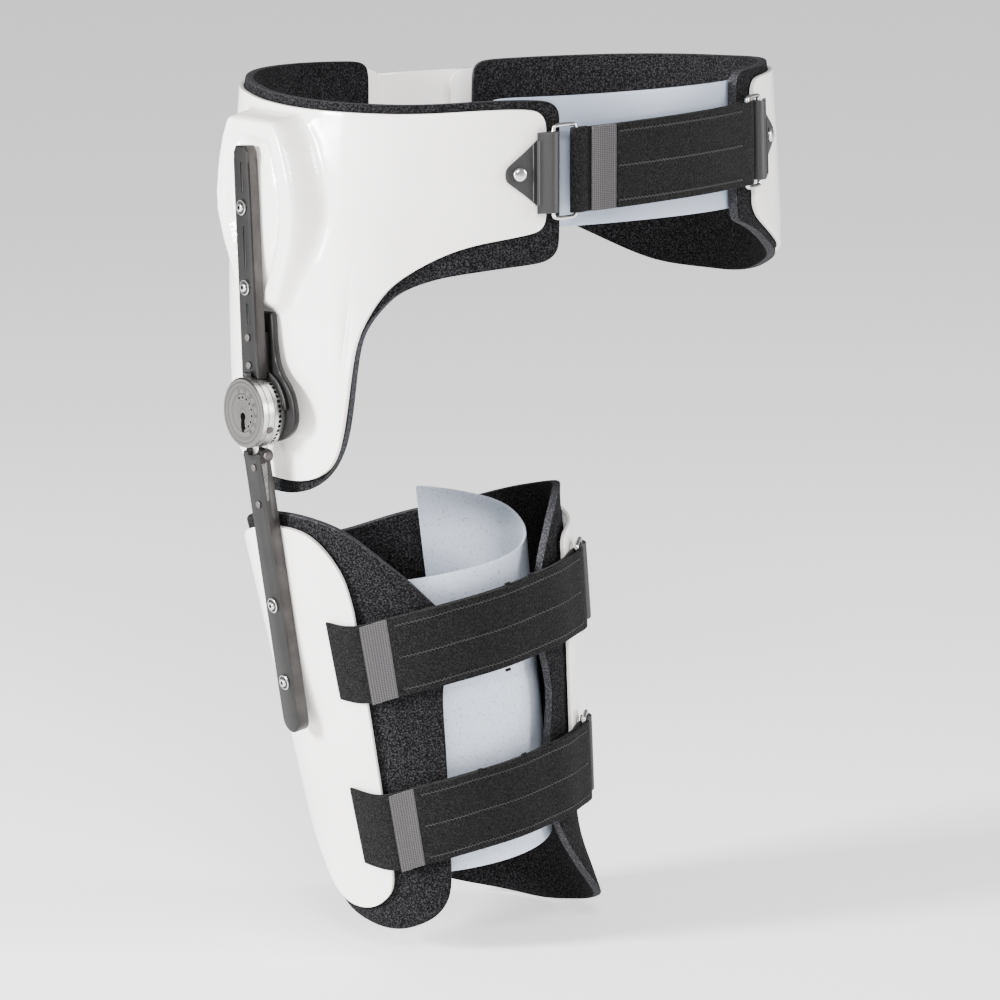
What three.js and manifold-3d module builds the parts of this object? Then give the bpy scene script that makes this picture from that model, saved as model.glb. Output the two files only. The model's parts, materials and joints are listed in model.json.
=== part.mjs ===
// Hip abduction brace for the wearer's right hip: a lined pelvic band, a dial hinge on a jointed bar,
// and a lined thigh cuff. Lengths are millimetres. +Z is up, the wearer faces -Y and the hinge is on
// the -X side. The origin is the middle of the pelvis at the height of the front strap.
import * as THREE from "three";
import { mergeVertices } from "three/addons/utils/BufferGeometryUtils.js";
import Module from "manifold-3d";

const wasm = await Module();
wasm.setup();

const DEG = Math.PI / 180;

// Clearances between pieces that touch
const FIT = 0.3;
const RUN = 0.5;

// Sheet stock
const SHELL_WALL = 3;
const FOAM_WALL = 5.5;
const TONGUE_WALL = 1.6;
const WEB_WIDTH = 50;
const WEB_THICK = 2.2;
const TAB_LENGTH = 16.5;
const CHAPE_THICK = 2;

// Pelvic band
const PELVIS_WIDTH = 350;
const HINGE_SHARE = 0.52;
const PELVIS_DEPTH = 270;
const FRONT_SQUARENESS = 2.25;
const BACK_SQUARENESS = 2.05;
const HIP_FLARE = 6.5;
const RIM_RISE = 42;
const LOBE_DROP = 181;
const FAR_DROP = 82;
const LINING_MARGIN = 5;
const CORNER = 9;
const BAND_ARC = 2.42;
const TONGUE_RISE = 49.5;
const TONGUE_DROP = 28;
const PELVIC_STRAP_TILT = 0.1;
const PELVIC_STRAP_RISE = 9;
const BACK_PLATE_RISE = 38;
const BACK_PLATE_DROP = 22;

// Trochanter swelling of the hinge side
const SWELL_RISE = 3.5;
const SWELL_TURN = 73;
const SWELL_DROP = 82;
const SWELL_SPAN = 9;
const SWELL_HEIGHT = 30;

// Dial hinge and bars
const HINGE_FORWARD = 12.5;
const HINGE_DROP = 138.2;
const HINGE_CLEAR = 1.2;
const PADDLE_THICK = 4;
const PADDLE_HALF = 30.4;
const SPACER_THICK = 2.2;
const WHEEL_THICK = 7;
const DIAL_RADIUS = 21;
const DIAL_PROUD = 6;
const BAR_THICK = 7.5;
const BAR_WIDTH = 16.5;
const UPPER_REACH = 158;
const BAR_TILT = 3.6;
const PLATFORM_HALF = 41.5;
const PLATFORM_SLOPE = 17;
const PADDLE_REACH = 59;
const SPACER_REACH = 47;

// Sideways pivot under the dial and the lower bar
const EAR_RADIUS = 4.4;
const PIVOT_RADIUS = 1.5;
const TENON_WIDTH = 6;
const TENON_REACH = 24;
const LOWER_REACH = 174;
const LEG_LEAN = 9.4;

// Thigh cuff
const CUFF_RADIUS = 91.4;
const CUFF_TAPER = 0.08;
const CUFF_WAIST = 111.8;
const CUFF_OFFSET = 93.2;
const CUFF_BACK = 2.4;
const CUFF_TOP = 45.5;
const CUFF_LENGTH = 247.5;
const CUFF_LEAN = 0.017;
const CUFF_SPREAD = 7;
const CUFF_BULGE = 4;
const CUFF_FLARE = 15;
const CUFF_TONGUE_RADIUS = 60;
const CUFF_TONGUE_TOP = 84;
const CUFF_TONGUE_FOOT = 273;
const CUFF_TONGUE_FORWARD = 22;
const CUFF_TONGUE_ASIDE = 3;
const UPPER_STRAP_DROP = 121.4;
const STRAP_SPACING = 110;
const THIGH_STRAP_SAG = 10;
const THIGH_ARC = 1.6;

// Rings and fasteners
const WIRE = 3;
const RING_CORNER = 2.2;
const RING_SPAN = 13.8;
const SCREW_HEAD = 4.6;
const SCREW_RISE = 2.4;
const PIN_HEAD = 2.2;
const PIN_RISE = 0.8;
const RIVET_HEAD = 4.2;
const RIVET_RISE = 1.8;

// Worked out from the sizes above
const LINING_INSET = SHELL_WALL + FIT;
const TONGUE_INSET = LINING_INSET + FOAM_WALL + FIT;
const HINGE_HALF = PELVIS_WIDTH * HINGE_SHARE;
const SIDE = HINGE_HALF + HIP_FLARE;
const PADDLE_X = -SIDE - HINGE_CLEAR;
const WHEEL_X = PADDLE_X - PADDLE_THICK - FIT;
const SPACER_X = WHEEL_X - SPACER_THICK;
const BAR_X = SPACER_X - FIT;
const DIAL_X = WHEEL_X - WHEEL_THICK - FIT;
const FACE_X = BAR_X - BAR_THICK;
const PIVOT_X = WHEEL_X - EAR_RADIUS;
const PIVOT_DROP = DIAL_RADIUS + RUN + EAR_RADIUS;
const RING_LIFT = CHAPE_THICK + WIRE / 2 + 2 * FIT;
const UNDER_LIFT = WEB_THICK / 2 + FIT;

const PAINTS = {
  shell: { color: 0xe9e7e6, roughness: 0.28, metalness: 0 },
  foam: { color: 0x2b2b2c, roughness: 0.95, metalness: 0 },
  tongue: { color: 0xc3cad6, roughness: 0.45, metalness: 0 },
  webbing: { color: 0x232324, roughness: 0.98, metalness: 0 },
  tab: { color: 0x6c6b6e, roughness: 0.9, metalness: 0 },
  chape: { color: 0x2c2d2f, roughness: 0.6, metalness: 0 },
  bar: { color: 0x3a383b, roughness: 0.45, metalness: 0.6 },
  aluminium: { color: 0xb9b8b5, roughness: 0.35, metalness: 1 },
  steel: { color: 0xc9c9cb, roughness: 0.25, metalness: 1 },
};

const smooth = (t) => {
  const k = Math.min(1, Math.max(0, t));
  return k * k * (3 - 2 * k);
};

const lerp = (a, b, t) => a + (b - a) * t;

// A smooth curve through a table: the value in column out where column key has the value at.
function along(table, key, out, at) {
  const last = table.length - 1;
  if (at <= table[0][key]) return table[0][out];
  if (at >= table[last][key]) return table[last][out];
  const slope = (i) => (table[i + 1][out] - table[i][out]) / (table[i + 1][key] - table[i][key]);
  const tangent = (i) => {
    if (i === 0) return slope(0);
    if (i === last) return slope(last - 1);
    const before = slope(i - 1);
    const after = slope(i);
    return before * after <= 0 ? 0 : (2 * before * after) / (before + after);
  };
  const i = table.findIndex((row) => row[key] > at) - 1;
  const step = table[i + 1][key] - table[i][key];
  const t = (at - table[i][key]) / step;
  const rise = table[i + 1][out] - table[i][out];
  const m0 = tangent(i) * step;
  const m1 = tangent(i + 1) * step;
  return table[i][out] + m0 * t + (3 * rise - 2 * m0 - m1) * t * t + (m0 + m1 - 2 * rise) * t * t * t;
}

// Turns a closed surface so that its faces point outwards.
function facingOut(points, faces) {
  let volume = 0;
  for (const [a, b, c] of faces) volume += points[a].dot(points[b].clone().cross(points[c]));
  const turned = volume < 0 ? faces.map(([a, b, c]) => [a, c, b]) : faces;
  const geometry = new THREE.BufferGeometry().setFromPoints(points);
  geometry.setIndex(turned.flat());
  geometry.computeVertexNormals();
  return geometry;
}

// A wall between two grids of points, outer[i][j] and inner[i][j], closed round its four edges.
function wall(outer, inner) {
  const columns = outer.length;
  const rows = outer[0].length;
  const points = [...outer.flat(), ...inner.flat()];
  const out = (i, j) => i * rows + j;
  const back = (i, j) => columns * rows + i * rows + j;
  const faces = [];
  const quad = (a, b, c, d) => faces.push([a, b, c], [a, c, d]);
  for (let i = 0; i + 1 < columns; i += 1) {
    for (let j = 0; j + 1 < rows; j += 1) {
      quad(out(i, j), out(i + 1, j), out(i + 1, j + 1), out(i, j + 1));
      quad(back(i, j), back(i, j + 1), back(i + 1, j + 1), back(i + 1, j));
    }
    quad(out(i, 0), back(i, 0), back(i + 1, 0), out(i + 1, 0));
    quad(out(i, rows - 1), out(i + 1, rows - 1), back(i + 1, rows - 1), back(i, rows - 1));
  }
  for (let j = 0; j + 1 < rows; j += 1) {
    quad(out(0, j), out(0, j + 1), back(0, j + 1), back(0, j));
    quad(out(columns - 1, j), back(columns - 1, j), back(columns - 1, j + 1), out(columns - 1, j + 1));
  }
  return facingOut(points, faces);
}

// A skin through sections of equal point counts: a loop closes on its first section.
function skin(sections, loop) {
  const count = sections.length;
  const sides = sections[0].length;
  const points = sections.flat();
  const faces = [];
  const joins = loop ? count : count - 1;
  for (let i = 0; i < joins; i += 1) {
    const next = (i + 1) % count;
    for (let j = 0; j < sides; j += 1) {
      const beside = (j + 1) % sides;
      const corner = [i * sides + j, next * sides + j, next * sides + beside, i * sides + beside];
      faces.push([corner[0], corner[1], corner[2]], [corner[0], corner[2], corner[3]]);
    }
  }
  if (!loop) {
    const end = (count - 1) * sides;
    for (let j = 1; j + 1 < sides; j += 1) faces.push([0, j, j + 1], [end, end + j + 1, end + j]);
  }
  return facingOut(points, faces);
}

// Rounds the end of an edge: how far the edge draws in at a distance from the end.
const cornerDraw = (distance, radius) =>
  distance >= radius ? 0 : radius - Math.sqrt(Math.max(0, radius ** 2 - (radius - distance) ** 2));

// A curved panel cut from a bent surface. levels gives the heights of its rows at a turn.
function panel({ turns, arc, corner, levels, outer, inner }) {
  const first = turns[0];
  const last = turns[turns.length - 1];
  const heights = turns.map((turn) => {
    const row = levels(turn);
    const high = row[0];
    const low = row[row.length - 1];
    const draw = cornerDraw(Math.min(Math.abs(turn - first), Math.abs(last - turn)) * arc, corner);
    return row.map((z) => lerp(high - draw, low + draw, (high - z) / (high - low)));
  });
  const grid = (surface) => turns.map((turn, i) => heights[i].map((z) => surface(turn, z)));
  return wall(grid(outer), grid(inner));
}

const evenly = (high, low, rows) => Array.from({ length: rows + 1 }, (_, j) => lerp(high, low, j / rows));

// Turns from one to another: close ones where the corners are rounded, and multiples of a pitch
// between, so that pieces that lie on each other bend at the same turns.
function stations(from, to, arc, corner, pitches) {
  const low = Math.min(from, to);
  const high = Math.max(from, to);
  const close = corner / arc;
  const ends = [0, 0.13 * close, 0.45 * close, close];
  const middle = pitches.filter((turn) => turn > low + close * 1.3 && turn < high - close * 1.3);
  const turns = [...ends.map((d) => low + d), ...middle, ...ends.map((d) => high - d).reverse()];
  return from < to ? turns : turns.reverse();
}

// Where the pelvic band bends: closer over the hip, where the shell's edge and platform are.
const BAND_TURNS = [
  ...evenly(-246, -36, 29),
  ...evenly(-29, 60, 13),
  ...evenly(62.5, 70, 4),
  ...evenly(72, 108, 11),
  ...evenly(114, 324, 29),
];

// Where the thigh cuff bends
const CUFF_TURNS = [...evenly(-120, 54, 29), ...evenly(60, 152, 16)];

// How much of the hip flare the band has at each depth below the strap, as a share of the lobe's drop
const FLARE = [
  { depth: -0.36, share: -0.62 },
  { depth: -0.24, share: -0.4 },
  { depth: 0, share: 0.35 },
  { depth: 0.25, share: 0.9 },
  { depth: 0.42, share: 1 },
  { depth: 0.68, share: 0.85 },
  { depth: 1, share: 0.2 },
  { depth: 1.08, share: 0 },
];

// A point of the pelvic band: turn runs from the front towards the hinge side, inset is inwards.
function bandPoint(turn, z, inset) {
  const s = Math.sin(turn * DEG);
  const c = Math.cos(turn * DEG);
  const flare = HIP_FLARE * along(FLARE, "depth", "share", -z / LOBE_DROP);
  const half = (s > 0 ? HINGE_HALF : PELVIS_WIDTH - HINGE_HALF) + flare - inset;
  const deep = PELVIS_DEPTH / 2 - inset;
  const power = c > 0 ? FRONT_SQUARENESS : BACK_SQUARENESS;
  const reach = ((Math.abs(s) / half) ** power + (Math.abs(c) / deep) ** power) ** (-1 / power);
  return new THREE.Vector3(-reach * s, -reach * c, z);
}

// The hinge side of the band, with the swelling over the trochanter.
function hipPoint(turn, z, inset) {
  const across = (turn - SWELL_TURN) / SWELL_SPAN;
  const down = (z + SWELL_DROP) / SWELL_HEIGHT;
  const swell = SWELL_RISE * Math.exp(-(across ** 2) - down ** 2) * smooth((90 - turn) / 12);
  return bandPoint(turn, z, inset - swell);
}

// Fore and aft place of the bar's middle line at a height
const barLine = (z) => -HINGE_FORWARD + (z + HINGE_DROP) * Math.tan(BAR_TILT * DEG);

// Half the platform's breadth at heights above the hinge, as shares of the upper bar's reach
const PLATFORM = [
  { rise: 0.36, share: 0.4 },
  { rise: 0.42, share: 0.48 },
  { rise: 0.51, share: 0.67 },
  { rise: 0.62, share: 0.87 },
  { rise: 0.73, share: 1 },
  { rise: 0.81, share: 1 },
  { rise: 0.9, share: 0.93 },
  { rise: 1.01, share: 0.8 },
  { rise: 1.1, share: 0.6 },
];

// The outside of the hinge side's shell: it rises to a flat platform that carries the upper bar.
function platformPoint(turn, z) {
  const point = hipPoint(turn, z, 0);
  if (turn < 60 || turn > 125) return point;
  const rise = (z + HINGE_DROP) / UPPER_REACH;
  const half = PLATFORM_HALF * along(PLATFORM, "rise", "share", rise);
  const across = smooth((half - Math.abs(point.y - barLine(z))) / PLATFORM_SLOPE);
  const top = smooth((RIM_RISE * 0.88 - z) / 15);
  const foot = smooth((z + HINGE_DROP - PADDLE_REACH - FIT) / 11);
  point.x = lerp(point.x, Math.min(point.x, BAR_X + FIT), across * top * foot);
  return point;
}

// Edges of the hinge side's shell: rise as a share of the rim's, depth as a share of the lobe's
const NEAR_RIM = [
  { turn: 29, share: 1.01 },
  { turn: 36, share: 1.04 },
  { turn: 42, share: 1.04 },
  { turn: 53, share: 0.998 },
  { turn: 61, share: 0.986 },
  { turn: 76, share: 0.993 },
  { turn: 85, share: 1.01 },
  { turn: 94, share: 1.045 },
  { turn: 104, share: 1.1 },
  { turn: 122, share: 1.13 },
  { turn: 145, share: 1.09 },
  { turn: 178, share: 0.98 },
];
const NEAR_FOOT = [
  { turn: 29, share: 0.165 },
  { turn: 34, share: 0.168 },
  { turn: 38, share: 0.178 },
  { turn: 46, share: 0.197 },
  { turn: 51, share: 0.223 },
  { turn: 55.5, share: 0.26 },
  { turn: 59.3, share: 0.3 },
  { turn: 62, share: 0.346 },
  { turn: 64.6, share: 0.411 },
  { turn: 66.4, share: 0.47 },
  { turn: 67.9, share: 0.537 },
  { turn: 69, share: 0.6 },
  { turn: 69.7, share: 0.7 },
  { turn: 70.2, share: 0.8 },
  { turn: 71, share: 0.873 },
  { turn: 73.4, share: 0.943 },
  { turn: 76, share: 0.972 },
  { turn: 79.5, share: 0.993 },
  { turn: 84, share: 1 },
  { turn: 90, share: 0.995 },
  { turn: 100, share: 0.96 },
  { turn: 107, share: 0.89 },
  { turn: 116, share: 0.76 },
  { turn: 128, share: 0.61 },
  { turn: 140, share: 0.45 },
  { turn: 153, share: 0.29 },
  { turn: 165, share: 0.19 },
  { turn: 178, share: 0.14 },
];
const NEAR_LINING_FOOT = [
  { turn: 26, share: 0.25 },
  { turn: 31, share: 0.267 },
  { turn: 41, share: 0.28 },
  { turn: 49, share: 0.296 },
  { turn: 54, share: 0.308 },
  { turn: 57.5, share: 0.325 },
  { turn: 60.5, share: 0.355 },
  { turn: 63.6, share: 0.41 },
  { turn: 66.4, share: 0.475 },
  { turn: 67.9, share: 0.53 },
  { turn: 68.7, share: 0.6 },
  { turn: 69.4, share: 0.7 },
  { turn: 70.1, share: 0.8 },
  { turn: 71.2, share: 0.868 },
  { turn: 73.2, share: 0.935 },
  { turn: 75.6, share: 0.98 },
  { turn: 78, share: 1.008 },
  { turn: 81, share: 1.033 },
  { turn: 85, share: 1.048 },
  { turn: 92, share: 1.05 },
  { turn: 102, share: 1.01 },
  { turn: 110, share: 0.93 },
  { turn: 119, share: 0.8 },
  { turn: 131, share: 0.645 },
  { turn: 143, share: 0.485 },
  { turn: 156, share: 0.325 },
  { turn: 172, share: 0.2 },
];

// Edges of the other side's shell
const FAR_RIM = [
  { turn: 200, share: 0.9 },
  { turn: 230, share: 0.97 },
  { turn: 270, share: 1.09 },
  { turn: 300, share: 1.2 },
  { turn: 321, share: 1.2 },
];
const FAR_FOOT = [
  { turn: 200, share: 0.3 },
  { turn: 215, share: 0.43 },
  { turn: 233, share: 0.72 },
  { turn: 256, share: 0.99 },
  { turn: 274, share: 0.98 },
  { turn: 290, share: 0.82 },
  { turn: 305, share: 0.66 },
  { turn: 314, share: 0.52 },
  { turn: 321, share: 0.4 },
];

const NEAR = { front: 29.4, back: 178, liningFront: 25.8, liningBack: 172 };
const FAR = { front: 321, back: 200, liningFront: 327, liningBack: 206 };

const group = new THREE.Group();
const leg = new THREE.Group();

function addNode(parent, name, paint, geometry) {
  const mesh = new THREE.Mesh(geometry, new THREE.MeshStandardMaterial(PAINTS[paint]));
  mesh.name = name;
  parent.add(mesh);
  return mesh;
}

const nearRim = (turn) => RIM_RISE * along(NEAR_RIM, "turn", "share", turn);
const nearFoot = (turn) => -LOBE_DROP * along(NEAR_FOOT, "turn", "share", turn);
const nearLiningFoot = (turn) => -LOBE_DROP * along(NEAR_LINING_FOOT, "turn", "share", turn);
const farRim = (turn) => RIM_RISE * along(FAR_RIM, "turn", "share", turn);
const farFoot = (turn) => -FAR_DROP * along(FAR_FOOT, "turn", "share", turn);

// Rows of the hinge side's shell. Where the lobe is long they follow the platform's ends.
function nearLevels(turn) {
  const top = nearRim(turn);
  const foot = nearFoot(turn);
  const even = evenly(top, foot, 10);
  const ends = [top, 0.86 * top, 0.5 * top, -6, -32, -60, -78].map((z) => Math.max(z, foot));
  const fixed = [...ends, ...evenly(-78, foot, 4).slice(1)];
  const share = smooth((-foot - 125) / 30);
  return even.map((z, j) => lerp(z, fixed[j], share));
}

// The lining's rows: its own edges, and between them the rows of the shell over it.
function liningLevels(shell, top, foot) {
  return (turn) => [top(turn), ...shell(turn).slice(1, -1), foot(turn)];
}

function pelvicShells() {
  const bandStations = (from, to) => stations(from, to, BAND_ARC, CORNER, BAND_TURNS);
  const farLevels = (turn) => evenly(farRim(turn), farFoot(turn), 6);
  const shared = { arc: BAND_ARC, corner: CORNER };
  addNode(group, "near_pelvic_shell", "shell", panel({
    ...shared,
    turns: bandStations(NEAR.front, NEAR.back),
    levels: nearLevels,
    outer: platformPoint,
    inner: (turn, z) => hipPoint(turn, z, SHELL_WALL),
  }));
  addNode(group, "near_pelvic_foam", "foam", panel({
    ...shared,
    turns: bandStations(NEAR.liningFront, NEAR.liningBack),
    levels: liningLevels(nearLevels, (turn) => nearRim(turn) + LINING_MARGIN, nearLiningFoot),
    outer: (turn, z) => hipPoint(turn, z, LINING_INSET),
    inner: (turn, z) => hipPoint(turn, z, LINING_INSET + FOAM_WALL),
  }));
  addNode(group, "far_pelvic_shell", "shell", panel({
    ...shared,
    turns: bandStations(FAR.front, FAR.back),
    levels: farLevels,
    outer: (turn, z) => bandPoint(turn, z, 0),
    inner: (turn, z) => bandPoint(turn, z, SHELL_WALL),
  }));
  addNode(group, "far_pelvic_foam", "foam", panel({
    ...shared,
    turns: bandStations(FAR.liningFront, FAR.liningBack),
    levels: liningLevels(
      farLevels,
      (turn) => farRim(turn) + LINING_MARGIN,
      (turn) => farFoot(turn) - LINING_MARGIN,
    ),
    outer: (turn, z) => bandPoint(turn, z, LINING_INSET),
    inner: (turn, z) => bandPoint(turn, z, LINING_INSET + FOAM_WALL),
  }));
  addNode(group, "back_plate", "shell", panel({
    ...shared,
    turns: bandStations(162, 218),
    levels: () => evenly(BACK_PLATE_RISE, -BACK_PLATE_DROP, 3),
    outer: (turn, z) => bandPoint(turn, z, -SHELL_WALL - FIT),
    inner: (turn, z) => bandPoint(turn, z, -FIT),
  }));
  addNode(group, "pelvic_tongue", "tongue", panel({
    ...shared,
    turns: bandStations(44, -50),
    levels: () => evenly(TONGUE_RISE, -TONGUE_DROP, 3),
    outer: (turn, z) => bandPoint(turn, z, TONGUE_INSET + FIT),
    inner: (turn, z) => bandPoint(turn, z, TONGUE_INSET + FIT + TONGUE_WALL),
  }));
}

// A domed head turned about an axis, standing on a point of a surface.
function head(radius, rise, { at, axis }) {
  const profile = [
    new THREE.Vector2(0, 0),
    new THREE.Vector2(radius, 0),
    new THREE.Vector2(radius * 0.78, rise * 0.75),
    new THREE.Vector2(0, rise),
  ];
  const geometry = closed(new THREE.LatheGeometry(profile, 10));
  geometry.applyQuaternion(new THREE.Quaternion().setFromUnitVectors(new THREE.Vector3(0, 1, 0), axis));
  return geometry.translate(at.x, at.y, at.z);
}

// The place and direction of something that stands square on a surface
function standing(place, run, lift, across) {
  const at = place(run, lift, across);
  const along = place(run + 1, lift, across).sub(place(run - 1, lift, across));
  const up = place(run, lift, across + 1).sub(place(run, lift, across - 1));
  const axis = along.cross(up).normalize();
  const out = place(run, lift + 1, across).sub(at);
  return { at, axis: axis.dot(out) < 0 ? axis.negate() : axis };
}

// Merges the doubled points of a three.js solid, so that it is one closed surface facing out.
function closed(geometry) {
  geometry.deleteAttribute("normal");
  geometry.deleteAttribute("uv");
  const merged = mergeVertices(geometry, 1e-3);
  const points = [];
  const position = merged.getAttribute("position");
  for (let i = 0; i < position.count; i += 1) points.push(new THREE.Vector3().fromBufferAttribute(position, i));
  const index = merged.index.array;
  const faces = [];
  for (let i = 0; i < index.length; i += 3) {
    const [a, b, c] = [index[i], index[i + 1], index[i + 2]];
    if (a !== b && b !== c && c !== a) faces.push([a, b, c]);
  }
  return facingOut(points, faces);
}

function toSolid(geometry) {
  return new wasm.Manifold(new wasm.Mesh({
    numProp: 3,
    vertProperties: new Float32Array(geometry.getAttribute("position").array),
    triVerts: new Uint32Array(geometry.index.array),
  }));
}

function fromSolid(solid) {
  const mesh = solid.getMesh();
  const geometry = new THREE.BufferGeometry();
  geometry.setAttribute("position", new THREE.BufferAttribute(new Float32Array(mesh.vertProperties), 3));
  geometry.setIndex(new THREE.BufferAttribute(new Uint32Array(mesh.triVerts), 1));
  geometry.computeVertexNormals();
  return geometry;
}

const cut = (body, ...tools) =>
  fromSolid(tools.reduce((solid, tool) => solid.subtract(toSolid(tool)), toSolid(body)));

// A plate from one X to another. Its outline is points of { y, z }, fore and aft and up.
function plate(outline, from, to, bevel) {
  const shape = new THREE.Shape(outline.map(({ y, z }) => new THREE.Vector2(y, z)));
  const geometry = closed(new THREE.ExtrudeGeometry(shape, {
    depth: to - from - 2 * bevel,
    bevelEnabled: bevel > 0,
    bevelSize: bevel,
    bevelOffset: -bevel,
    bevelThickness: bevel,
    bevelSegments: 1,
  }));
  const basis = new THREE.Matrix4().makeBasis(
    new THREE.Vector3(0, 1, 0),
    new THREE.Vector3(0, 0, 1),
    new THREE.Vector3(1, 0, 0),
  );
  return geometry.applyMatrix4(basis).translate(from + bevel, 0, 0);
}

// Outline points round an arc, with angles in degrees from the fore-and-aft axis.
function arc(y, z, radius, from, to, steps) {
  return evenly(from, to, steps).map((angle) => ({
    y: y + radius * Math.cos(angle * DEG),
    z: z + radius * Math.sin(angle * DEG),
  }));
}

// A pin of a given radius along an axis between two places on it
function rod(radius, axis, from, to, sides) {
  const geometry = closed(new THREE.CylinderGeometry(radius, radius, to - from, sides));
  geometry.translate(0, (from + to) / 2, 0);
  return geometry.applyQuaternion(new THREE.Quaternion().setFromUnitVectors(new THREE.Vector3(0, 1, 0), axis));
}

const OUT = new THREE.Vector3(-1, 0, 0);
const ASIDE = new THREE.Vector3(0, 1, 0);

// Half the paddle's outline from its top to its foot, as shares of its half width and its reach
const PADDLE = [
  { half: 0.3, rise: 1 },
  { half: 0.37, rise: 0.97 },
  { half: 0.37, rise: 0.74 },
  { half: 0.42, rise: 0.52 },
  { half: 0.55, rise: 0.39 },
  { half: 0.76, rise: 0.29 },
  { half: 0.92, rise: 0.17 },
  { half: 1, rise: 0 },
  { half: 0.97, rise: -0.11 },
  { half: 0.84, rise: -0.2 },
  { half: 0.6, rise: -0.27 },
  { half: 0.25, rise: -0.32 },
];

// The hinge's own frame: fore and aft and up from the dial's axis, leaning with the upper bar.
function upperHinge() {
  const frame = new THREE.Group();
  frame.position.set(0, -HINGE_FORWARD, -HINGE_DROP);
  frame.rotation.x = -BAR_TILT * DEG;
  group.add(frame);
  const half = BAR_WIDTH / 2;
  const seat = DIAL_RADIUS + RUN;
  const open = Math.acos(half / seat) / DEG;
  const bar = [
    ...arc(0, 0, seat, 180 - open, open, 6),
    { y: half, z: UPPER_REACH - half * 0.6 },
    { y: half * 0.6, z: UPPER_REACH },
    { y: -half * 0.6, z: UPPER_REACH },
    { y: -half, z: UPPER_REACH - half * 0.6 },
  ];
  addNode(frame, "upper_bar", "bar", plate(bar, FACE_X, BAR_X, 0.8));

  const rim = seat + 3.4;
  const stem = Math.acos((half * 0.85) / rim) / DEG;
  const spacer = [
    { y: half * 0.85, z: SPACER_REACH },
    ...arc(0, 0, rim, stem, 5, 7),
    ...arc(0, 0, seat, 5, 175, 12),
    ...arc(0, 0, rim, 175, 180 - stem, 7),
    { y: -half * 0.85, z: SPACER_REACH },
  ];
  addNode(frame, "hinge_spacer", "bar", plate(spacer, SPACER_X, WHEEL_X, 0));

  const edge = PADDLE.map((row) => ({ y: row.half * PADDLE_HALF, z: row.rise * PADDLE_REACH }));
  const paddle = [...edge, ...edge.map(({ y, z }) => ({ y: -y, z })).reverse()];
  addNode(frame, "hinge_paddle", "bar", plate(paddle, PADDLE_X - PADDLE_THICK, PADDLE_X, 0.6));

  const disc = arc(0, 0, DIAL_RADIUS, 0, 342, 19);
  addNode(frame, "hinge_dial", "aluminium", plate(disc, FACE_X - DIAL_PROUD, DIAL_X, 0.8));

  const face = FACE_X - FIT;
  [0.769, 0.469].forEach((share, i) => {
    const at = new THREE.Vector3(face, 0, UPPER_REACH * share);
    addNode(frame, `upper_bar_screw_${i + 1}`, "steel", head(SCREW_HEAD, SCREW_RISE, { at, axis: OUT }));
  });
  [0.28, 0.175].forEach((share, i) => {
    const at = new THREE.Vector3(face, 0, UPPER_REACH * share);
    addNode(frame, `upper_bar_pin_${i + 1}`, "steel", head(PIN_HEAD, PIN_RISE, { at, axis: OUT }));
  });
}

// The wheel behind the dial, with the tenon that reaches down into the lower bar.
function hingeWheel() {
  const half = TENON_WIDTH / 2;
  const tip = -PIVOT_DROP - TENON_REACH;
  const open = Math.acos(half / DIAL_RADIUS) / DEG;
  const outline = [
    ...arc(0, tip + half, half, 180, 360, 6),
    ...arc(0, 0, DIAL_RADIUS, -open, 180 + open, 22),
  ];
  const blank = plate(outline, WHEEL_X - WHEEL_THICK, WHEEL_X, 0);
  const bore = rod(PIVOT_RADIUS + FIT, ASIDE, -BAR_WIDTH, BAR_WIDTH, 12);
  bore.translate(PIVOT_X, 0, -PIVOT_DROP);
  const frame = new THREE.Group();
  frame.position.set(0, -HINGE_FORWARD, -HINGE_DROP);
  group.add(frame);
  addNode(frame, "hinge_wheel", "aluminium", cut(blank, bore));
}

// The leg's frame: its origin is the sideways pivot, and its Z runs up the lower bar.
function placeLeg() {
  leg.position.set(PIVOT_X, -HINGE_FORWARD, -HINGE_DROP - PIVOT_DROP);
  leg.rotation.y = -LEG_LEAN * DEG;
  group.add(leg);
}

const SHOULDER_IN = BAR_X - PIVOT_X;
const SHOULDER_OUT = SHOULDER_IN - BAR_THICK;
const CUFF_AXIS = SHOULDER_IN + CUFF_OFFSET;
const SEAT = SHOULDER_IN + FIT;

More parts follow.
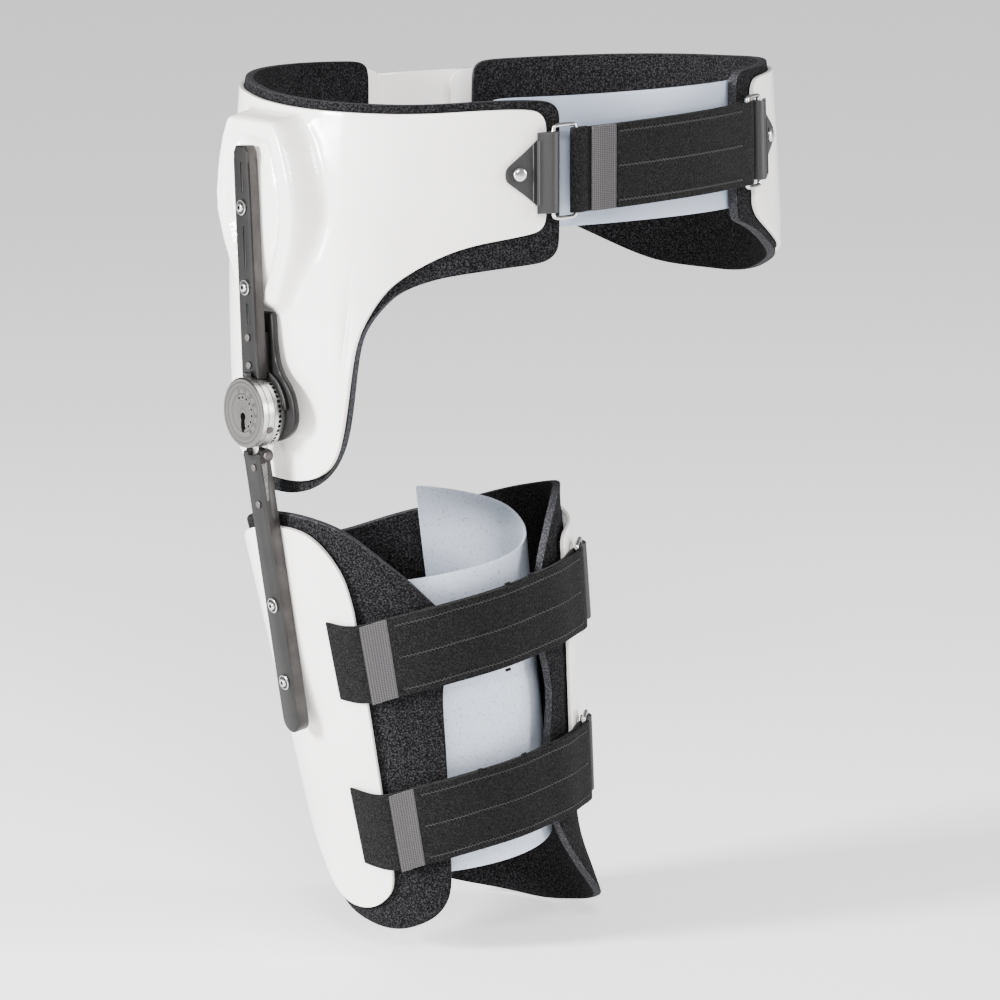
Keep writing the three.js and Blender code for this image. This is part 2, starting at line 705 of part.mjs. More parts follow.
function lowerBar() {
  const half = BAR_WIDTH / 2;
  const outline = [
    { y: half, z: 0 },
    ...arc(0, -LOWER_REACH + half, half, 0, -180, 8),
    { y: -half, z: 0 },
  ];
  const cheek = [
    { y: -half, z: -EAR_RADIUS },
    { y: half, z: -EAR_RADIUS },
    { y: half, z: EAR_RADIUS / 2 },
    { y: -half, z: EAR_RADIUS / 2 },
  ];
  const slab = toSolid(plate(outline, SHOULDER_OUT, SHOULDER_IN, 0));
  const top = toSolid(plate(cheek, SHOULDER_OUT, 0, 0));
  const ear = toSolid(rod(EAR_RADIUS, ASIDE, -half, half, 16));
  const slot = new THREE.BoxGeometry(4 * EAR_RADIUS, TENON_WIDTH + 2 * RUN, 2 * (TENON_REACH + 3 * RUN));
  const bore = toSolid(rod(PIVOT_RADIUS + FIT, ASIDE, -BAR_WIDTH, BAR_WIDTH, 12));
  const body = slab.add(top).add(ear).subtract(toSolid(closed(slot))).subtract(bore);
  addNode(leg, "lower_bar", "bar", fromSolid(body));

  const pin = toSolid(rod(PIVOT_RADIUS, ASIDE, -half - FIT - PIN_RISE, half + FIT + PIN_RISE, 12));
  const heads = [-1, 1].map((side) => {
    const stand = { at: new THREE.Vector3(0, side * (half + FIT), 0), axis: ASIDE.clone().multiplyScalar(side) };
    return toSolid(head(PIVOT_RADIUS * 2, PIN_RISE * 2, stand));
  });
  addNode(leg, "abduction_pin", "steel", fromSolid(pin.add(heads[0]).add(heads[1])));

  const face = SHOULDER_OUT - FIT;
  [0.535, 0.815].forEach((share, i) => {
    const at = new THREE.Vector3(face, 0, -LOWER_REACH * share);
    addNode(leg, `lower_bar_screw_${i + 1}`, "steel", head(SCREW_HEAD, SCREW_RISE, { at, axis: OUT }));
  });
  const at = new THREE.Vector3(face, 0, -TENON_REACH * 1.25);
  addNode(leg, "lower_bar_pin", "steel", head(PIN_HEAD, PIN_RISE, { at, axis: OUT }));
}

// A point of the thigh cuff in the leg's frame: depth is below the pivot, inset is inwards. The cuff
// is a slight cone, fuller on the inner side and flattened on the outer side to seat the bar.
function cuffPoint(turn, depth, inset) {
  const s = Math.sin(turn * DEG);
  const spread = CUFF_SPREAD * smooth((0.25 - s) / 0.9);
  const aside = (((turn + 242) % 360) - 180) / 30;
  const down = (depth - UPPER_STRAP_DROP - 9) / 60;
  const bulge = CUFF_BULGE * Math.exp(-(aside ** 2) - down ** 2);
  const radius = CUFF_RADIUS + CUFF_TAPER * (CUFF_WAIST - depth) + spread + bulge - inset;
  const round = CUFF_AXIS - radius * s;
  const short = SEAT + inset - round;
  const flat = round + (short + Math.sqrt(short ** 2 + 9)) / 2;
  return new THREE.Vector3(lerp(round, flat, smooth(s * 3 - 1)), CUFF_BACK - radius * Math.cos(turn * DEG), -depth);
}

// The lining's foot flares on the inner side of the thigh.
function liningPoint(turn, depth, inset) {
  const inner = smooth((-Math.sin(turn * DEG) - 0.2) / 0.7);
  const flare = CUFF_FLARE * inner * smooth((depth - CUFF_LENGTH * 1.1) / (CUFF_LENGTH * 0.24));
  return cuffPoint(turn, depth, inset - flare);
}

// The shell's outside rises to a boss under the lower screw. Its front edge leans with depth.
function shellPoint(turn, depth, inset) {
  return cuffPoint(turn + CUFF_LEAN * (depth - CUFF_LENGTH * 0.67), depth, inset);
}

function bossPoint(turn, depth) {
  const point = shellPoint(turn, depth, 0);
  const across = smooth((BAR_WIDTH * 1.15 - Math.abs(point.y)) / 9);
  const down = smooth((LOWER_REACH * 0.93 - depth) / 14);
  point.x = lerp(point.x, Math.min(point.x, SEAT), across * down);
  return point;
}

// Edges of the thigh shell: depth below its top as a share of its length
const CUFF_SHELL = [
  { turn: 57.9, top: 0.2, foot: 0.88 },
  { turn: 60, top: 0.12, foot: 0.945 },
  { turn: 62.4, top: 0.081, foot: 0.963 },
  { turn: 65, top: 0.054, foot: 0.975 },
  { turn: 69, top: 0.024, foot: 0.988 },
  { turn: 74, top: 0.006, foot: 0.998 },
  { turn: 80, top: 0, foot: 1 },
  { turn: 87, top: 0, foot: 0.996 },
  { turn: 94, top: 0.003, foot: 0.98 },
  { turn: 101, top: 0.012, foot: 0.953 },
  { turn: 105, top: 0.02, foot: 0.91 },
  { turn: 112, top: 0.035, foot: 0.86 },
  { turn: 120, top: 0.06, foot: 0.81 },
  { turn: 130, top: 0.1, foot: 0.762 },
  { turn: 141, top: 0.155, foot: 0.713 },
  { turn: 152, top: 0.22, foot: 0.677 },
];

// The lining's four edges as lists of points: turn, and depth below the shell's top as a share of
// its length. The rim and the foot run from the front flap round the back to the inner flap.
const LINING_RIM = [
  { turn: 18, share: 0.269 },
  { turn: 26, share: 0.212 },
  { turn: 33, share: 0.152 },
  { turn: 42, share: 0.093 },
  { turn: 50, share: 0.04 },
  { turn: 56, share: 0.006 },
  { turn: 64, share: -0.018 },
  { turn: 75, share: -0.03 },
  { turn: 88, share: -0.028 },
  { turn: 106, share: -0.012 },
  { turn: 124, share: 0.036 },
  { turn: 148, share: 0.11 },
  { turn: 172, share: 0.17 },
  { turn: 193, share: 0.192 },
  { turn: 218, share: 0.177 },
  { turn: 240, share: 0.157 },
  { turn: 260, share: 0.123 },
  { turn: 275, share: 0.099 },
  { turn: 290, share: 0.073 },
  { turn: 303, share: 0.053 },
  { turn: 314, share: 0.049 },
];
const LINING_FOOT = [
  { turn: 34.1, share: 0.955 },
  { turn: 38, share: 0.998 },
  { turn: 45, share: 1.03 },
  { turn: 56, share: 1.05 },
  { turn: 64, share: 1.058 },
  { turn: 75, share: 1.053 },
  { turn: 88, share: 1.034 },
  { turn: 96, share: 1.02 },
  { turn: 101, share: 0.999 },
  { turn: 107, share: 0.964 },
  { turn: 118, share: 0.92 },
  { turn: 135, share: 0.9 },
  { turn: 155, share: 0.93 },
  { turn: 180, share: 1.025 },
  { turn: 200, share: 1.1 },
  { turn: 221, share: 1.168 },
  { turn: 247, share: 1.21 },
  { turn: 263, share: 1.21 },
  { turn: 288, share: 1.174 },
  { turn: 305, share: 1.117 },
];
const LINING_FRONT = [
  { turn: 18, share: 0.269 },
  { turn: 19.5, share: 0.32 },
  { turn: 24.5, share: 0.382 },
  { turn: 26.8, share: 0.43 },
  { turn: 27.5, share: 0.483 },
  { turn: 28.1, share: 0.562 },
  { turn: 29.2, share: 0.646 },
  { turn: 31, share: 0.766 },
  { turn: 32.8, share: 0.875 },
  { turn: 34.1, share: 0.955 },
];
const LINING_INNER = [
  { turn: 314, share: 0.049 },
  { turn: 323, share: 0.087 },
  { turn: 330.5, share: 0.127 },
  { turn: 336, share: 0.174 },
  { turn: 339, share: 0.21 },
  { turn: 341.5, share: 0.27 },
  { turn: 341.5, share: 0.35 },
  { turn: 339, share: 0.42 },
  { turn: 334.5, share: 0.487 },
  { turn: 332.5, share: 0.533 },
  { turn: 334.5, share: 0.58 },
  { turn: 339, share: 0.64 },
  { turn: 341.5, share: 0.713 },
  { turn: 341, share: 0.798 },
  { turn: 336.5, share: 0.87 },
  { turn: 327, share: 0.956 },
  { turn: 316, share: 1.04 },
  { turn: 305, share: 1.117 },
];

const cuffDepth = (share) => CUFF_TOP + CUFF_LENGTH * share;

// A smooth run through a list of edge points, as places along a curve of even steps
function edge(points) {
  const curve = new THREE.SplineCurve(
    points.map(({ turn, share }) => new THREE.Vector2(turn * THIGH_ARC, CUFF_LENGTH * share)),
  );
  curve.arcLengthDivisions = 400;
  return (t) => {
    const place = curve.getPointAt(t);
    return { turn: place.x / THIGH_ARC, share: place.y / CUFF_LENGTH };
  };
}

// Fills a sheet between its four edges: across from front to inner, down from rim to foot.
function fill(rim, foot, front, inner, across, down) {
  const mix = (key, u, v) => {
    const edges = lerp(rim(u)[key], foot(u)[key], v) + lerp(front(v)[key], inner(v)[key], u);
    const corners = lerp(lerp(rim(0)[key], rim(1)[key], u), lerp(foot(0)[key], foot(1)[key], u), v);
    return edges - corners;
  };
  return Array.from({ length: across + 1 }, (_, i) =>
    Array.from({ length: down + 1 }, (_, j) => ({
      turn: mix("turn", i / across, j / down),
      share: mix("share", i / across, j / down),
    })),
  );
}

function thighCuff() {
  const edgeLevels = (turn) => {
    const high = -cuffDepth(along(CUFF_SHELL, "turn", "top", turn));
    const low = -cuffDepth(along(CUFF_SHELL, "turn", "foot", turn));
    return evenly(high, low, 9);
  };
  const turns = stations(57.9, 152, THIGH_ARC, CORNER / 2, CUFF_TURNS);
  addNode(leg, "thigh_shell", "shell", panel({
    turns,
    arc: THIGH_ARC,
    corner: CORNER / 2,
    levels: edgeLevels,
    outer: (turn, z) => bossPoint(turn, -z),
    inner: (turn, z) => shellPoint(turn, -z, SHELL_WALL),
  }));
  const sheet = fill(edge(LINING_RIM), edge(LINING_FOOT), edge(LINING_FRONT), edge(LINING_INNER), 37, 9);
  const lay = (inset) =>
    sheet.map((column) => column.map(({ turn, share }) => liningPoint(turn, cuffDepth(share), inset)));
  const outside = LINING_INSET + FIT / 2;
  addNode(leg, "thigh_foam", "foam", wall(lay(outside), lay(outside + FOAM_WALL)));
  addNode(leg, "thigh_inner_plate", "shell", panel({
    turns: stations(-36, -84, THIGH_ARC, CORNER, CUFF_TURNS),
    arc: THIGH_ARC,
    corner: CORNER,
    levels: () => evenly(-cuffDepth(0.145), -cuffDepth(0.79), 5),
    outer: (turn, z) => cuffPoint(turn, -z, -FIT),
    inner: (turn, z) => cuffPoint(turn, -z, SHELL_WALL - FIT),
  }));
}

// The thigh's tongue: a sheet curled on itself, whose outer end lies against the lining.
const CURL_TOP = [
  { turn: -149, rise: 0.127 },
  { turn: -117, rise: 0.09 },
  { turn: -90, rise: 0.063 },
  { turn: -60, rise: 0.021 },
  { turn: -25, rise: 0 },
  { turn: 64, rise: 0.01 },
];

function thighTongue() {
  const length = CUFF_TONGUE_FOOT - CUFF_TONGUE_TOP;
  const curl = (turn, z, inset) => {
    const down = (-z - CUFF_TONGUE_TOP) / length;
    const radius = CUFF_TONGUE_RADIUS - 4 * down - inset;
    const x = CUFF_AXIS + CUFF_TONGUE_ASIDE - radius * Math.sin(turn * DEG);
    const y = CUFF_BACK - CUFF_TONGUE_FORWARD + 8 * down - radius * Math.cos(turn * DEG);
    const laid = cuffPoint(turn, -z, TONGUE_INSET + 1 + inset);
    return new THREE.Vector3(x, y, z).lerp(laid, smooth((turn - 4) / 50));
  };
  addNode(leg, "thigh_tongue", "tongue", panel({
    turns: stations(64, -149, THIGH_ARC, CORNER / 3, evenly(-140, 60, 20)),
    arc: THIGH_ARC,
    corner: CORNER / 3,
    levels: (turn) => evenly(
      -CUFF_TONGUE_TOP + length * along(CURL_TOP, "turn", "rise", turn),
      -CUFF_TONGUE_FOOT,
      3,
    ),
    outer: (turn, z) => curl(turn, z, 0),
    inner: (turn, z) => curl(turn, z, TONGUE_WALL),
  }));
}

// A flat band laid along a route of { run, lift, half } in the plane across its width. place turns
// a run along the surface, a lift off it and a step across the band into a point.
function band(route, thickness, place) {
  const sections = route.map((here, i) => {
    const before = route[Math.max(0, i - 1)];
    const after = route[Math.min(route.length - 1, i + 1)];
    const length = Math.hypot(after.run - before.run, after.lift - before.lift);
    const off = (thickness / 2) * ((after.run - before.run) / length);
    const back = (-thickness / 2) * ((after.lift - before.lift) / length);
    return [
      place(here.run + back, here.lift + off, here.half),
      place(here.run + back, here.lift + off, -here.half),
      place(here.run - back, here.lift - off, -here.half),
      place(here.run - back, here.lift - off, here.half),
    ];
  });
  return skin(sections, false);
}

// Route points round a wire, from one angle to another, seen along the wire
function round(run, lift, radius, from, to, steps, half) {
  return Array.from({ length: steps + 1 }, (_, i) => {
    const angle = lerp(from, to, i / steps) * DEG;
    return { run: run + radius * Math.cos(angle), lift: lift + radius * Math.sin(angle), half };
  });
}

// A rectangular wire ring with round corners, lying along the surface
function wireRing(place, run, lift) {
  const long = WEB_WIDTH / 2 + RING_CORNER + RUN / 2;
  const short = RING_SPAN / 2;
  const path = [];
  for (const [sr, sa, from] of [[1, 1, 0], [-1, 1, 90], [-1, -1, 180], [1, -1, 270]]) {
    for (const angle of evenly(from, from + 90, 2)) {
      const cos = Math.cos(angle * DEG);
      const sin = Math.sin(angle * DEG);
      const middle = sr * (short - RING_CORNER) + RING_CORNER * cos;
      path.push({ run: middle, across: sa * (long - RING_CORNER) + RING_CORNER * sin, cos, sin });
    }
  }
  const sections = path.map((at) =>
    Array.from({ length: 5 }, (_, k) => {
      const angle = k * 72 * DEG;
      const out = (WIRE / 2) * Math.cos(angle);
      const up = (WIRE / 2) * Math.sin(angle);
      return place(run + at.run + out * at.cos, lift + up, at.across + out * at.sin);
    }),
  );
  return skin(sections, true);
}

// A chape: a tapered plate on the shell that folds round the ring's bar and back on itself.
function chapeRoute(bar, lift, length) {
  const low = CHAPE_THICK / 2 + FIT;
  const wrap = WIRE / 2 + FIT + CHAPE_THICK / 2;
  const wide = WEB_WIDTH / 2 - 1;
  const start = bar - length;
  return [
    { run: start, lift: low, half: RIVET_HEAD * 0.7 },
    { run: start + 2, lift: low, half: RIVET_HEAD * 1.3 },
    { run: lerp(start, bar, 0.35), lift: low, half: lerp(RIVET_HEAD * 1.3, wide, 0.32) },
    { run: lerp(start, bar, 0.62), lift: low, half: lerp(RIVET_HEAD * 1.3, wide, 0.7) },
    { run: bar - 4, lift: low, half: wide },
    ...round(bar, lift, wrap, -90, 120, 7, wide),
    { run: bar - 6.6, lift: low + CHAPE_THICK + FIT * 2, half: wide },
    { run: bar - 9, lift: low + CHAPE_THICK + FIT, half: wide },
  ];
}

// The folded end of a strap round a far bar, out from the surface and back over itself
function foldedEnd(bar, barLift, wrap, liftAt, half) {
  return [
    { run: bar - 3.2 * wrap, lift: liftAt(bar - 3.2 * wrap), half },
    { run: bar - 1.3 * wrap, lift: barLift - wrap + FIT, half },
    ...round(bar, barLift, wrap, -90, 90, 6, half),
    { run: bar - 1.3 * wrap, lift: barLift + wrap - FIT, half },
    { run: bar - 4.4 * wrap, lift: liftAt(bar - 4.4 * wrap) + WEB_THICK + FIT, half },
  ];
}

function pelvicStrap() {
  // Runs are measured towards the free side from the front edge of the hinge side's shell.
  const turnAt = (run) => NEAR.front - run / BAND_ARC;
  const heightAt = (run) => PELVIC_STRAP_RISE - 2.5 + (PELVIC_STRAP_TILT * run) / BAND_ARC;
  const place = (run, lift, across) => bandPoint(turnAt(run), heightAt(run) + across, -lift);
  const half = WEB_WIDTH / 2;
  const nearBar = 3.2;
  const nearRing = nearBar + RING_SPAN / 2;
  const farBar = (NEAR.front + 360 - FAR.front) * BAND_ARC - 3.2;
  const farRing = farBar - RING_SPAN / 2;
  const mirrored = (run, lift, across) => place(2 * farBar - run, lift, across);
  addNode(group, "near_chape", "chape", band(chapeRoute(nearBar, RING_LIFT, 26), CHAPE_THICK, place));
  addNode(group, "near_ring", "steel", wireRing(place, nearRing, RING_LIFT));
  addNode(group, "far_chape", "chape", band(chapeRoute(farBar, RING_LIFT, 26), CHAPE_THICK, mirrored));
  addNode(group, "far_ring", "steel", wireRing(place, farRing, RING_LIFT));

  const wrap = WIRE / 2 + FIT + WEB_THICK / 2;
  const liftAt = () => UNDER_LIFT + WEB_THICK;
  const over = liftAt() + WEB_THICK + FIT;
  const start = nearRing + RING_SPAN / 2;
  const bar = farRing - RING_SPAN / 2;
  const end = start + 3 * wrap + TAB_LENGTH;
  const route = [
    { run: start + 2.8 * wrap, lift: UNDER_LIFT, half },
    { run: start + 1.2 * wrap, lift: RING_LIFT - wrap + FIT, half },
    ...round(start, RING_LIFT, wrap, 270, 90, 6, half),
    { run: start + 1.3 * wrap, lift: RING_LIFT + wrap - FIT, half },
    { run: start + 3.2 * wrap, lift: liftAt() + FIT, half },
    ...evenly(start + 5 * wrap, bar - 5 * wrap, 10).map((run) => ({ run, lift: liftAt(), half })),
    ...foldedEnd(bar, RING_LIFT, wrap, liftAt, half),
    ...evenly(bar - 6 * wrap, end, 9).map((run) => ({ run, lift: over, half })),
  ];
  addNode(group, "pelvic_strap", "webbing", band(route, WEB_THICK, place));
  const tab = evenly(end - FIT, end - TAB_LENGTH, 3).map((run) => {
    const ride = smooth((start + 4.4 * wrap - run) / (2 * wrap));
    return { run, lift: over + ride * WEB_THICK, half };
  });
  addNode(group, "pelvic_strap_tab", "tab", band(tab, WEB_THICK, place));

  for (const [name, at, to] of [["near", nearBar - 18, place], ["far", farBar - 18, mirrored]]) {
    const stand = standing(to, at, CHAPE_THICK + 3 * FIT, 0);
    addNode(group, `${name}_chape_rivet`, "steel", head(RIVET_HEAD, RIVET_RISE, stand));
  }
  for (const [name, turn] of [["near", 168], ["far", 211]]) {
    const run = (NEAR.front - turn) * BAND_ARC;
    const stand = standing(place, run, SHELL_WALL + 3 * FIT, RIM_RISE * 0.3 - heightAt(run));
    addNode(group, `${name}_back_rivet`, "steel", head(RIVET_HEAD, RIVET_RISE, stand));
  }
}

// How far each thigh strap's middle hangs below its height in front, as a share of the sag
const THIGH_STRAP_LINE = [
  { turn: -60, share: -0.2 },
  { turn: -20, share: -0.15 },
  { turn: 0, share: 0 },
  { turn: 20, share: 0.1 },
  { turn: 45, share: 0.55 },
  { turn: 58, share: 0.9 },
  { turn: 72, share: 0.4 },
];

// A thigh strap, its ring and the chape on the inner plate. drop is the strap's depth in front, and
// start the turn where it comes out of the shell.
function thighStrap(name, drop, start) {
  const turnAt = (run) => start - run / THIGH_ARC;
  const place = (run, lift, across) => {
    const turn = turnAt(run);
    const sag = THIGH_STRAP_SAG * along(THIGH_STRAP_LINE, "turn", "share", turn);
    return cuffPoint(turn, drop + sag - across, -lift);
  };
  const half = WEB_WIDTH / 2;
  const wrap = WIRE / 2 + FIT + WEB_THICK / 2;
  const raised = (run, lift, across) => place(run, lift + 2 * FIT, across);
  const ringMiddle = (start + 46) * THIGH_ARC;
  const bar = ringMiddle + RING_SPAN / 2;
  const mirrored = (run, lift, across) => raised(2 * bar - run, lift, across);
  addNode(leg, `${name}_ring`, "steel", wireRing(raised, ringMiddle, RING_LIFT));
  addNode(leg, `${name}_chape`, "chape", band(chapeRoute(bar, RING_LIFT, 26), CHAPE_THICK, mirrored));
  const stand = standing(mirrored, bar - 18, CHAPE_THICK + 3 * FIT, 0);
  addNode(leg, `${name}_rivet`, "steel", head(RIVET_HEAD, RIVET_RISE, stand));

  const liftAt = (run) => {
    const offShell = smooth((56 - turnAt(run)) / 10);
    return UNDER_LIFT + 3 * FIT - SHELL_WALL * offShell * smooth((ringMiddle - 34 - run) / 14);
  };
  const far = ringMiddle - RING_SPAN / 2;
  const end = (start - 44) * THIGH_ARC;
  const over = (run) => liftAt(run) + WEB_THICK + FIT;
  const route = [
    ...evenly(0, far - 6 * wrap, 14).map((run) => ({ run, lift: liftAt(run), half })),
    ...foldedEnd(far, RING_LIFT + 2 * FIT, wrap, liftAt, half),
    ...evenly(far - 6 * wrap, end, 10).map((run) => ({ run, lift: over(run), half })),
  ];
  addNode(leg, `${name}_strap`, "webbing", band(route, WEB_THICK, place));
  const tab = evenly(end - FIT, end - TAB_LENGTH, 3).map((run) => ({ run, lift: over(run) + FIT, half }));
  addNode(leg, `${name}_strap_tab`, "tab", band(tab, WEB_THICK, place));
}

pelvicShells();
pelvicStrap();
upperHinge();
hingeWheel();
placeLeg();
lowerBar();
thighCuff();
thighTongue();
thighStrap("upper_thigh", UPPER_STRAP_DROP, 68);
thighStrap("lower_thigh", UPPER_STRAP_DROP + STRAP_SPACING, 72);

export default group;
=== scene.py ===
# Hip abduction brace for the wearer's right hip, in metres: a lined pelvic band, a dial hinge on a
# jointed bar, and a lined thigh cuff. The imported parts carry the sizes, and each piece here finishes one.
import json
import math

import bmesh
import bpy
from mathutils import Matrix, Vector
from mathutils.bvhtree import BVHTree


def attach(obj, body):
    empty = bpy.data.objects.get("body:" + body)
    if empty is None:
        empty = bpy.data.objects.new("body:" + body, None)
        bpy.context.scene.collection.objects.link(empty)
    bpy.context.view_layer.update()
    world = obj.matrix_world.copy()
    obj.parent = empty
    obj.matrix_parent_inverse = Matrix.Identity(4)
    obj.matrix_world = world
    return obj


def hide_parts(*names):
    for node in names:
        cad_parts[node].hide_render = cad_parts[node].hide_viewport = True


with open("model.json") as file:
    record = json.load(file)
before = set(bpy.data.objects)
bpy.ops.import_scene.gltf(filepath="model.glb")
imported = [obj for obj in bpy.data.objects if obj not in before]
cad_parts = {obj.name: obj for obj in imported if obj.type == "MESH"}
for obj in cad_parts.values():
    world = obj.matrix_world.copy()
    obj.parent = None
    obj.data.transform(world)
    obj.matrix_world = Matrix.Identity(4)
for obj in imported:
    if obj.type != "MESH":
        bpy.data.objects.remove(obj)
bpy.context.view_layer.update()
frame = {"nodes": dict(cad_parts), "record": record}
BODY_OF = {
    node: body for body, nodes in frame["record"]["behaviour"]["bodies"].items() for node in nodes
}
bpy.ops.object.select_all(action="DESELECT")

MM = 0.001
# A wave texture of scale 1 repeats every tau / 20 units
WAVE = math.tau / 20

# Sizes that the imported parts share
OUT = Vector((-1, 0, 0))
HINGE = Vector((-0.198, -0.0125, -0.1382))
DIAL_RADIUS = 21 * MM
DIAL_FACE = -210.0 * MM
BAR_TILT = math.radians(3.6)
PIVOT = Vector((-0.1984, -0.0125, -0.1641))
LEG_LEAN = math.radians(9.4)
CUFF_CENTRE = (95.9 * MM, 2.4 * MM)
BAND_ARC = 2.42 * MM
NEAR_FRONT = 29.4
FAR_FRONT = -39
STRAP_HEIGHT = 6.5
BAR_FOOT = -196.2 * MM
UPPER_REACH = 158 * MM
PLATFORM_HALF = 41.5 * MM
PLATFORM_FOOT = 59.3 * MM
WHEEL_MIDDLE = -197.6 * MM
FLOOR_DEPTH = -478 * MM

# Zigzag stitches: rows across a strap and half their swing in millimetres, and the thread's radius
STITCH_ROWS = (-20.5, 0, 20.5)
STITCH_SWING = 0.55
STITCH_RADIUS = 0.24 * MM


# Helpers for materials


def linear(hex_colour):
    """An sRGB hex colour as linear RGBA."""
    parts = [int(hex_colour[i : i + 2], 16) / 255 for i in (1, 3, 5)]
    return [p / 12.92 if p <= 0.04045 else ((p + 0.055) / 1.055) ** 2.4 for p in parts] + [1.0]


def add(tree, kind, links=None, **settings):
    """Adds a node. Settings are its properties, and links its inputs: a socket or a value by name."""
    made = tree.nodes.new(kind)
    for name, value in settings.items():
        setattr(made, name, value)
    for name, value in (links or {}).items():
        socket = made.inputs[name]
        if isinstance(value, bpy.types.NodeSocket):
            tree.links.new(value, socket)
        else:
            socket.default_value = value
    return made


def finish_of(name, colour, roughness, **sockets):
    """A material with its shader's own sockets set. Returns the material, its tree and its shader."""
    material = bpy.data.materials.new(name)
    material.use_nodes = True
    tree = material.node_tree
    shader = tree.nodes["Principled BSDF"]
    shader.inputs["Base Color"].default_value = linear(colour)
    shader.inputs["Roughness"].default_value = roughness
    for socket, value in sockets.items():
        shader.inputs[socket.replace("_", " ")].default_value = value
    return material, tree, shader


def ramp(tree, factor, low, high, start=0.3, end=0.7):
    """A two colour ramp on a factor, from low to high."""
    made = add(tree, "ShaderNodeValToRGB", {"Fac": factor})
    first, second = made.color_ramp.elements
    first.position, second.position = start, end
    first.color, second.color = linear(low), linear(high)
    return made.outputs["Color"]


# Materials


def moulded_polyethylene():
    """Drape moulded white sheet: glossy, with a slow ripple and a faint orange peel from the mould."""
    material, tree, shader = finish_of("moulded_polyethylene", "#EFEBE8", 0.13, IOR=1.54)
    place = add(tree, "ShaderNodeTexCoord").outputs["Object"]
    cloud = add(tree, "ShaderNodeTexNoise", {"Vector": place, "Scale": 12, "Detail": 2})
    tree.links.new(
        ramp(tree, cloud.outputs["Fac"], "#EAE5E2", "#F4F0ED"), shader.inputs["Base Color"]
    )
    slow = add(tree, "ShaderNodeTexNoise", {"Vector": place, "Scale": 38, "Detail": 1})
    peel = add(tree, "ShaderNodeTexNoise", {"Vector": place, "Scale": 520, "Detail": 2})
    ripple = add(
        tree,
        "ShaderNodeBump",
        {"Height": slow.outputs["Fac"], "Strength": 0.12, "Distance": 0.0012},
    )
    fine = add(
        tree,
        "ShaderNodeBump",
        {
            "Height": peel.outputs["Fac"],
            "Strength": 0.05,
            "Distance": 0.0002,
            "Normal": ripple.outputs["Normal"],
        },
    )
    tree.links.new(fine.outputs["Normal"], shader.inputs["Normal"])
    return material


def closed_cell_foam(name, dark, light, grain):
    """Closed cell polyethylene foam: matt, its cut cells drawn 1 mm across so that they show."""
    material, tree, shader = finish_of(name, dark, 1.0, Specular_IOR_Level=0.08)
    place = add(tree, "ShaderNodeTexCoord").outputs["Object"]
    cells = add(tree, "ShaderNodeTexVoronoi", {"Vector": place, "Scale": grain})
    speck = add(
        tree,
        "ShaderNodeTexNoise",
        {"Vector": place, "Scale": grain * 0.9, "Detail": 3, "Roughness": 0.7},
    )
    tree.links.new(
        ramp(tree, speck.outputs["Fac"], dark, light, 0.46, 0.68), shader.inputs["Base Color"]
    )
    pits = add(
        tree,
        "ShaderNodeBump",
        {"Height": cells.outputs["Distance"], "Strength": 0.6, "Distance": 0.0004},
    )
    tree.links.new(pits.outputs["Normal"], shader.inputs["Normal"])
    return material


def loop_pile():
    """Brushed loop pile webbing: a dense nap of about 0.5 mm loops, drawn at 0.9 mm so that it shows."""
    material, tree, shader = finish_of(
        "loop_pile", "#101011", 1.0, Sheen_Weight=0.04, Sheen_Roughness=0.6, Specular_IOR_Level=0.06
    )
    place = add(tree, "ShaderNodeTexCoord").outputs["Object"]
    nap = add(
        tree, "ShaderNodeTexNoise", {"Vector": place, "Scale": 1100, "Detail": 3, "Roughness": 0.75}
    )
    tree.links.new(
        ramp(tree, nap.outputs["Fac"], "#030304", "#2C2B2B", 0.45, 0.75), shader.inputs["Base Color"]
    )
    loops = add(tree, "ShaderNodeTexVoronoi", {"Vector": place, "Scale": 1000})
    high = add(
        tree,
        "ShaderNodeBump",
        {"Height": loops.outputs["Distance"], "Strength": 0.8, "Distance": 0.0006},
    )
    tree.links.new(high.outputs["Normal"], shader.inputs["Normal"])
    return material


def ribbed_webbing():
    """Grey woven hook webbing: ribs 1.5 mm apart across it, and a fine weft along them."""
    material, tree, shader = finish_of("ribbed_webbing", "#7B777A", 0.8, Sheen_Weight=0.15)
    place = add(tree, "ShaderNodeTexCoord").outputs["UV"]
    ribs = add(
        tree,
        "ShaderNodeTexWave",
        {
            "Vector": place,
            "Scale": WAVE / 1.5,
            "Distortion": 0.6,
            "Detail": 1,
            "Detail Scale": 3,
        },
        bands_direction="X",
    )
    weft = add(
        tree,
        "ShaderNodeTexWave",
        {"Vector": place, "Scale": WAVE / 1.1, "Distortion": 0.6},
        bands_direction="Y",
    )
    cross = add(
        tree,
        "ShaderNodeMath",
        {0: ribs.outputs["Fac"], 1: weft.outputs["Fac"]},
        operation="MULTIPLY",
    ).outputs[0]
    tree.links.new(ramp(tree, cross, "#222022", "#4E4B4D", 0.05, 0.8), shader.inputs["Base Color"])
    weave = add(tree, "ShaderNodeBump", {"Height": cross, "Strength": 0.7, "Distance": 0.0004})
    tree.links.new(weave.outputs["Normal"], shader.inputs["Normal"])
    return material


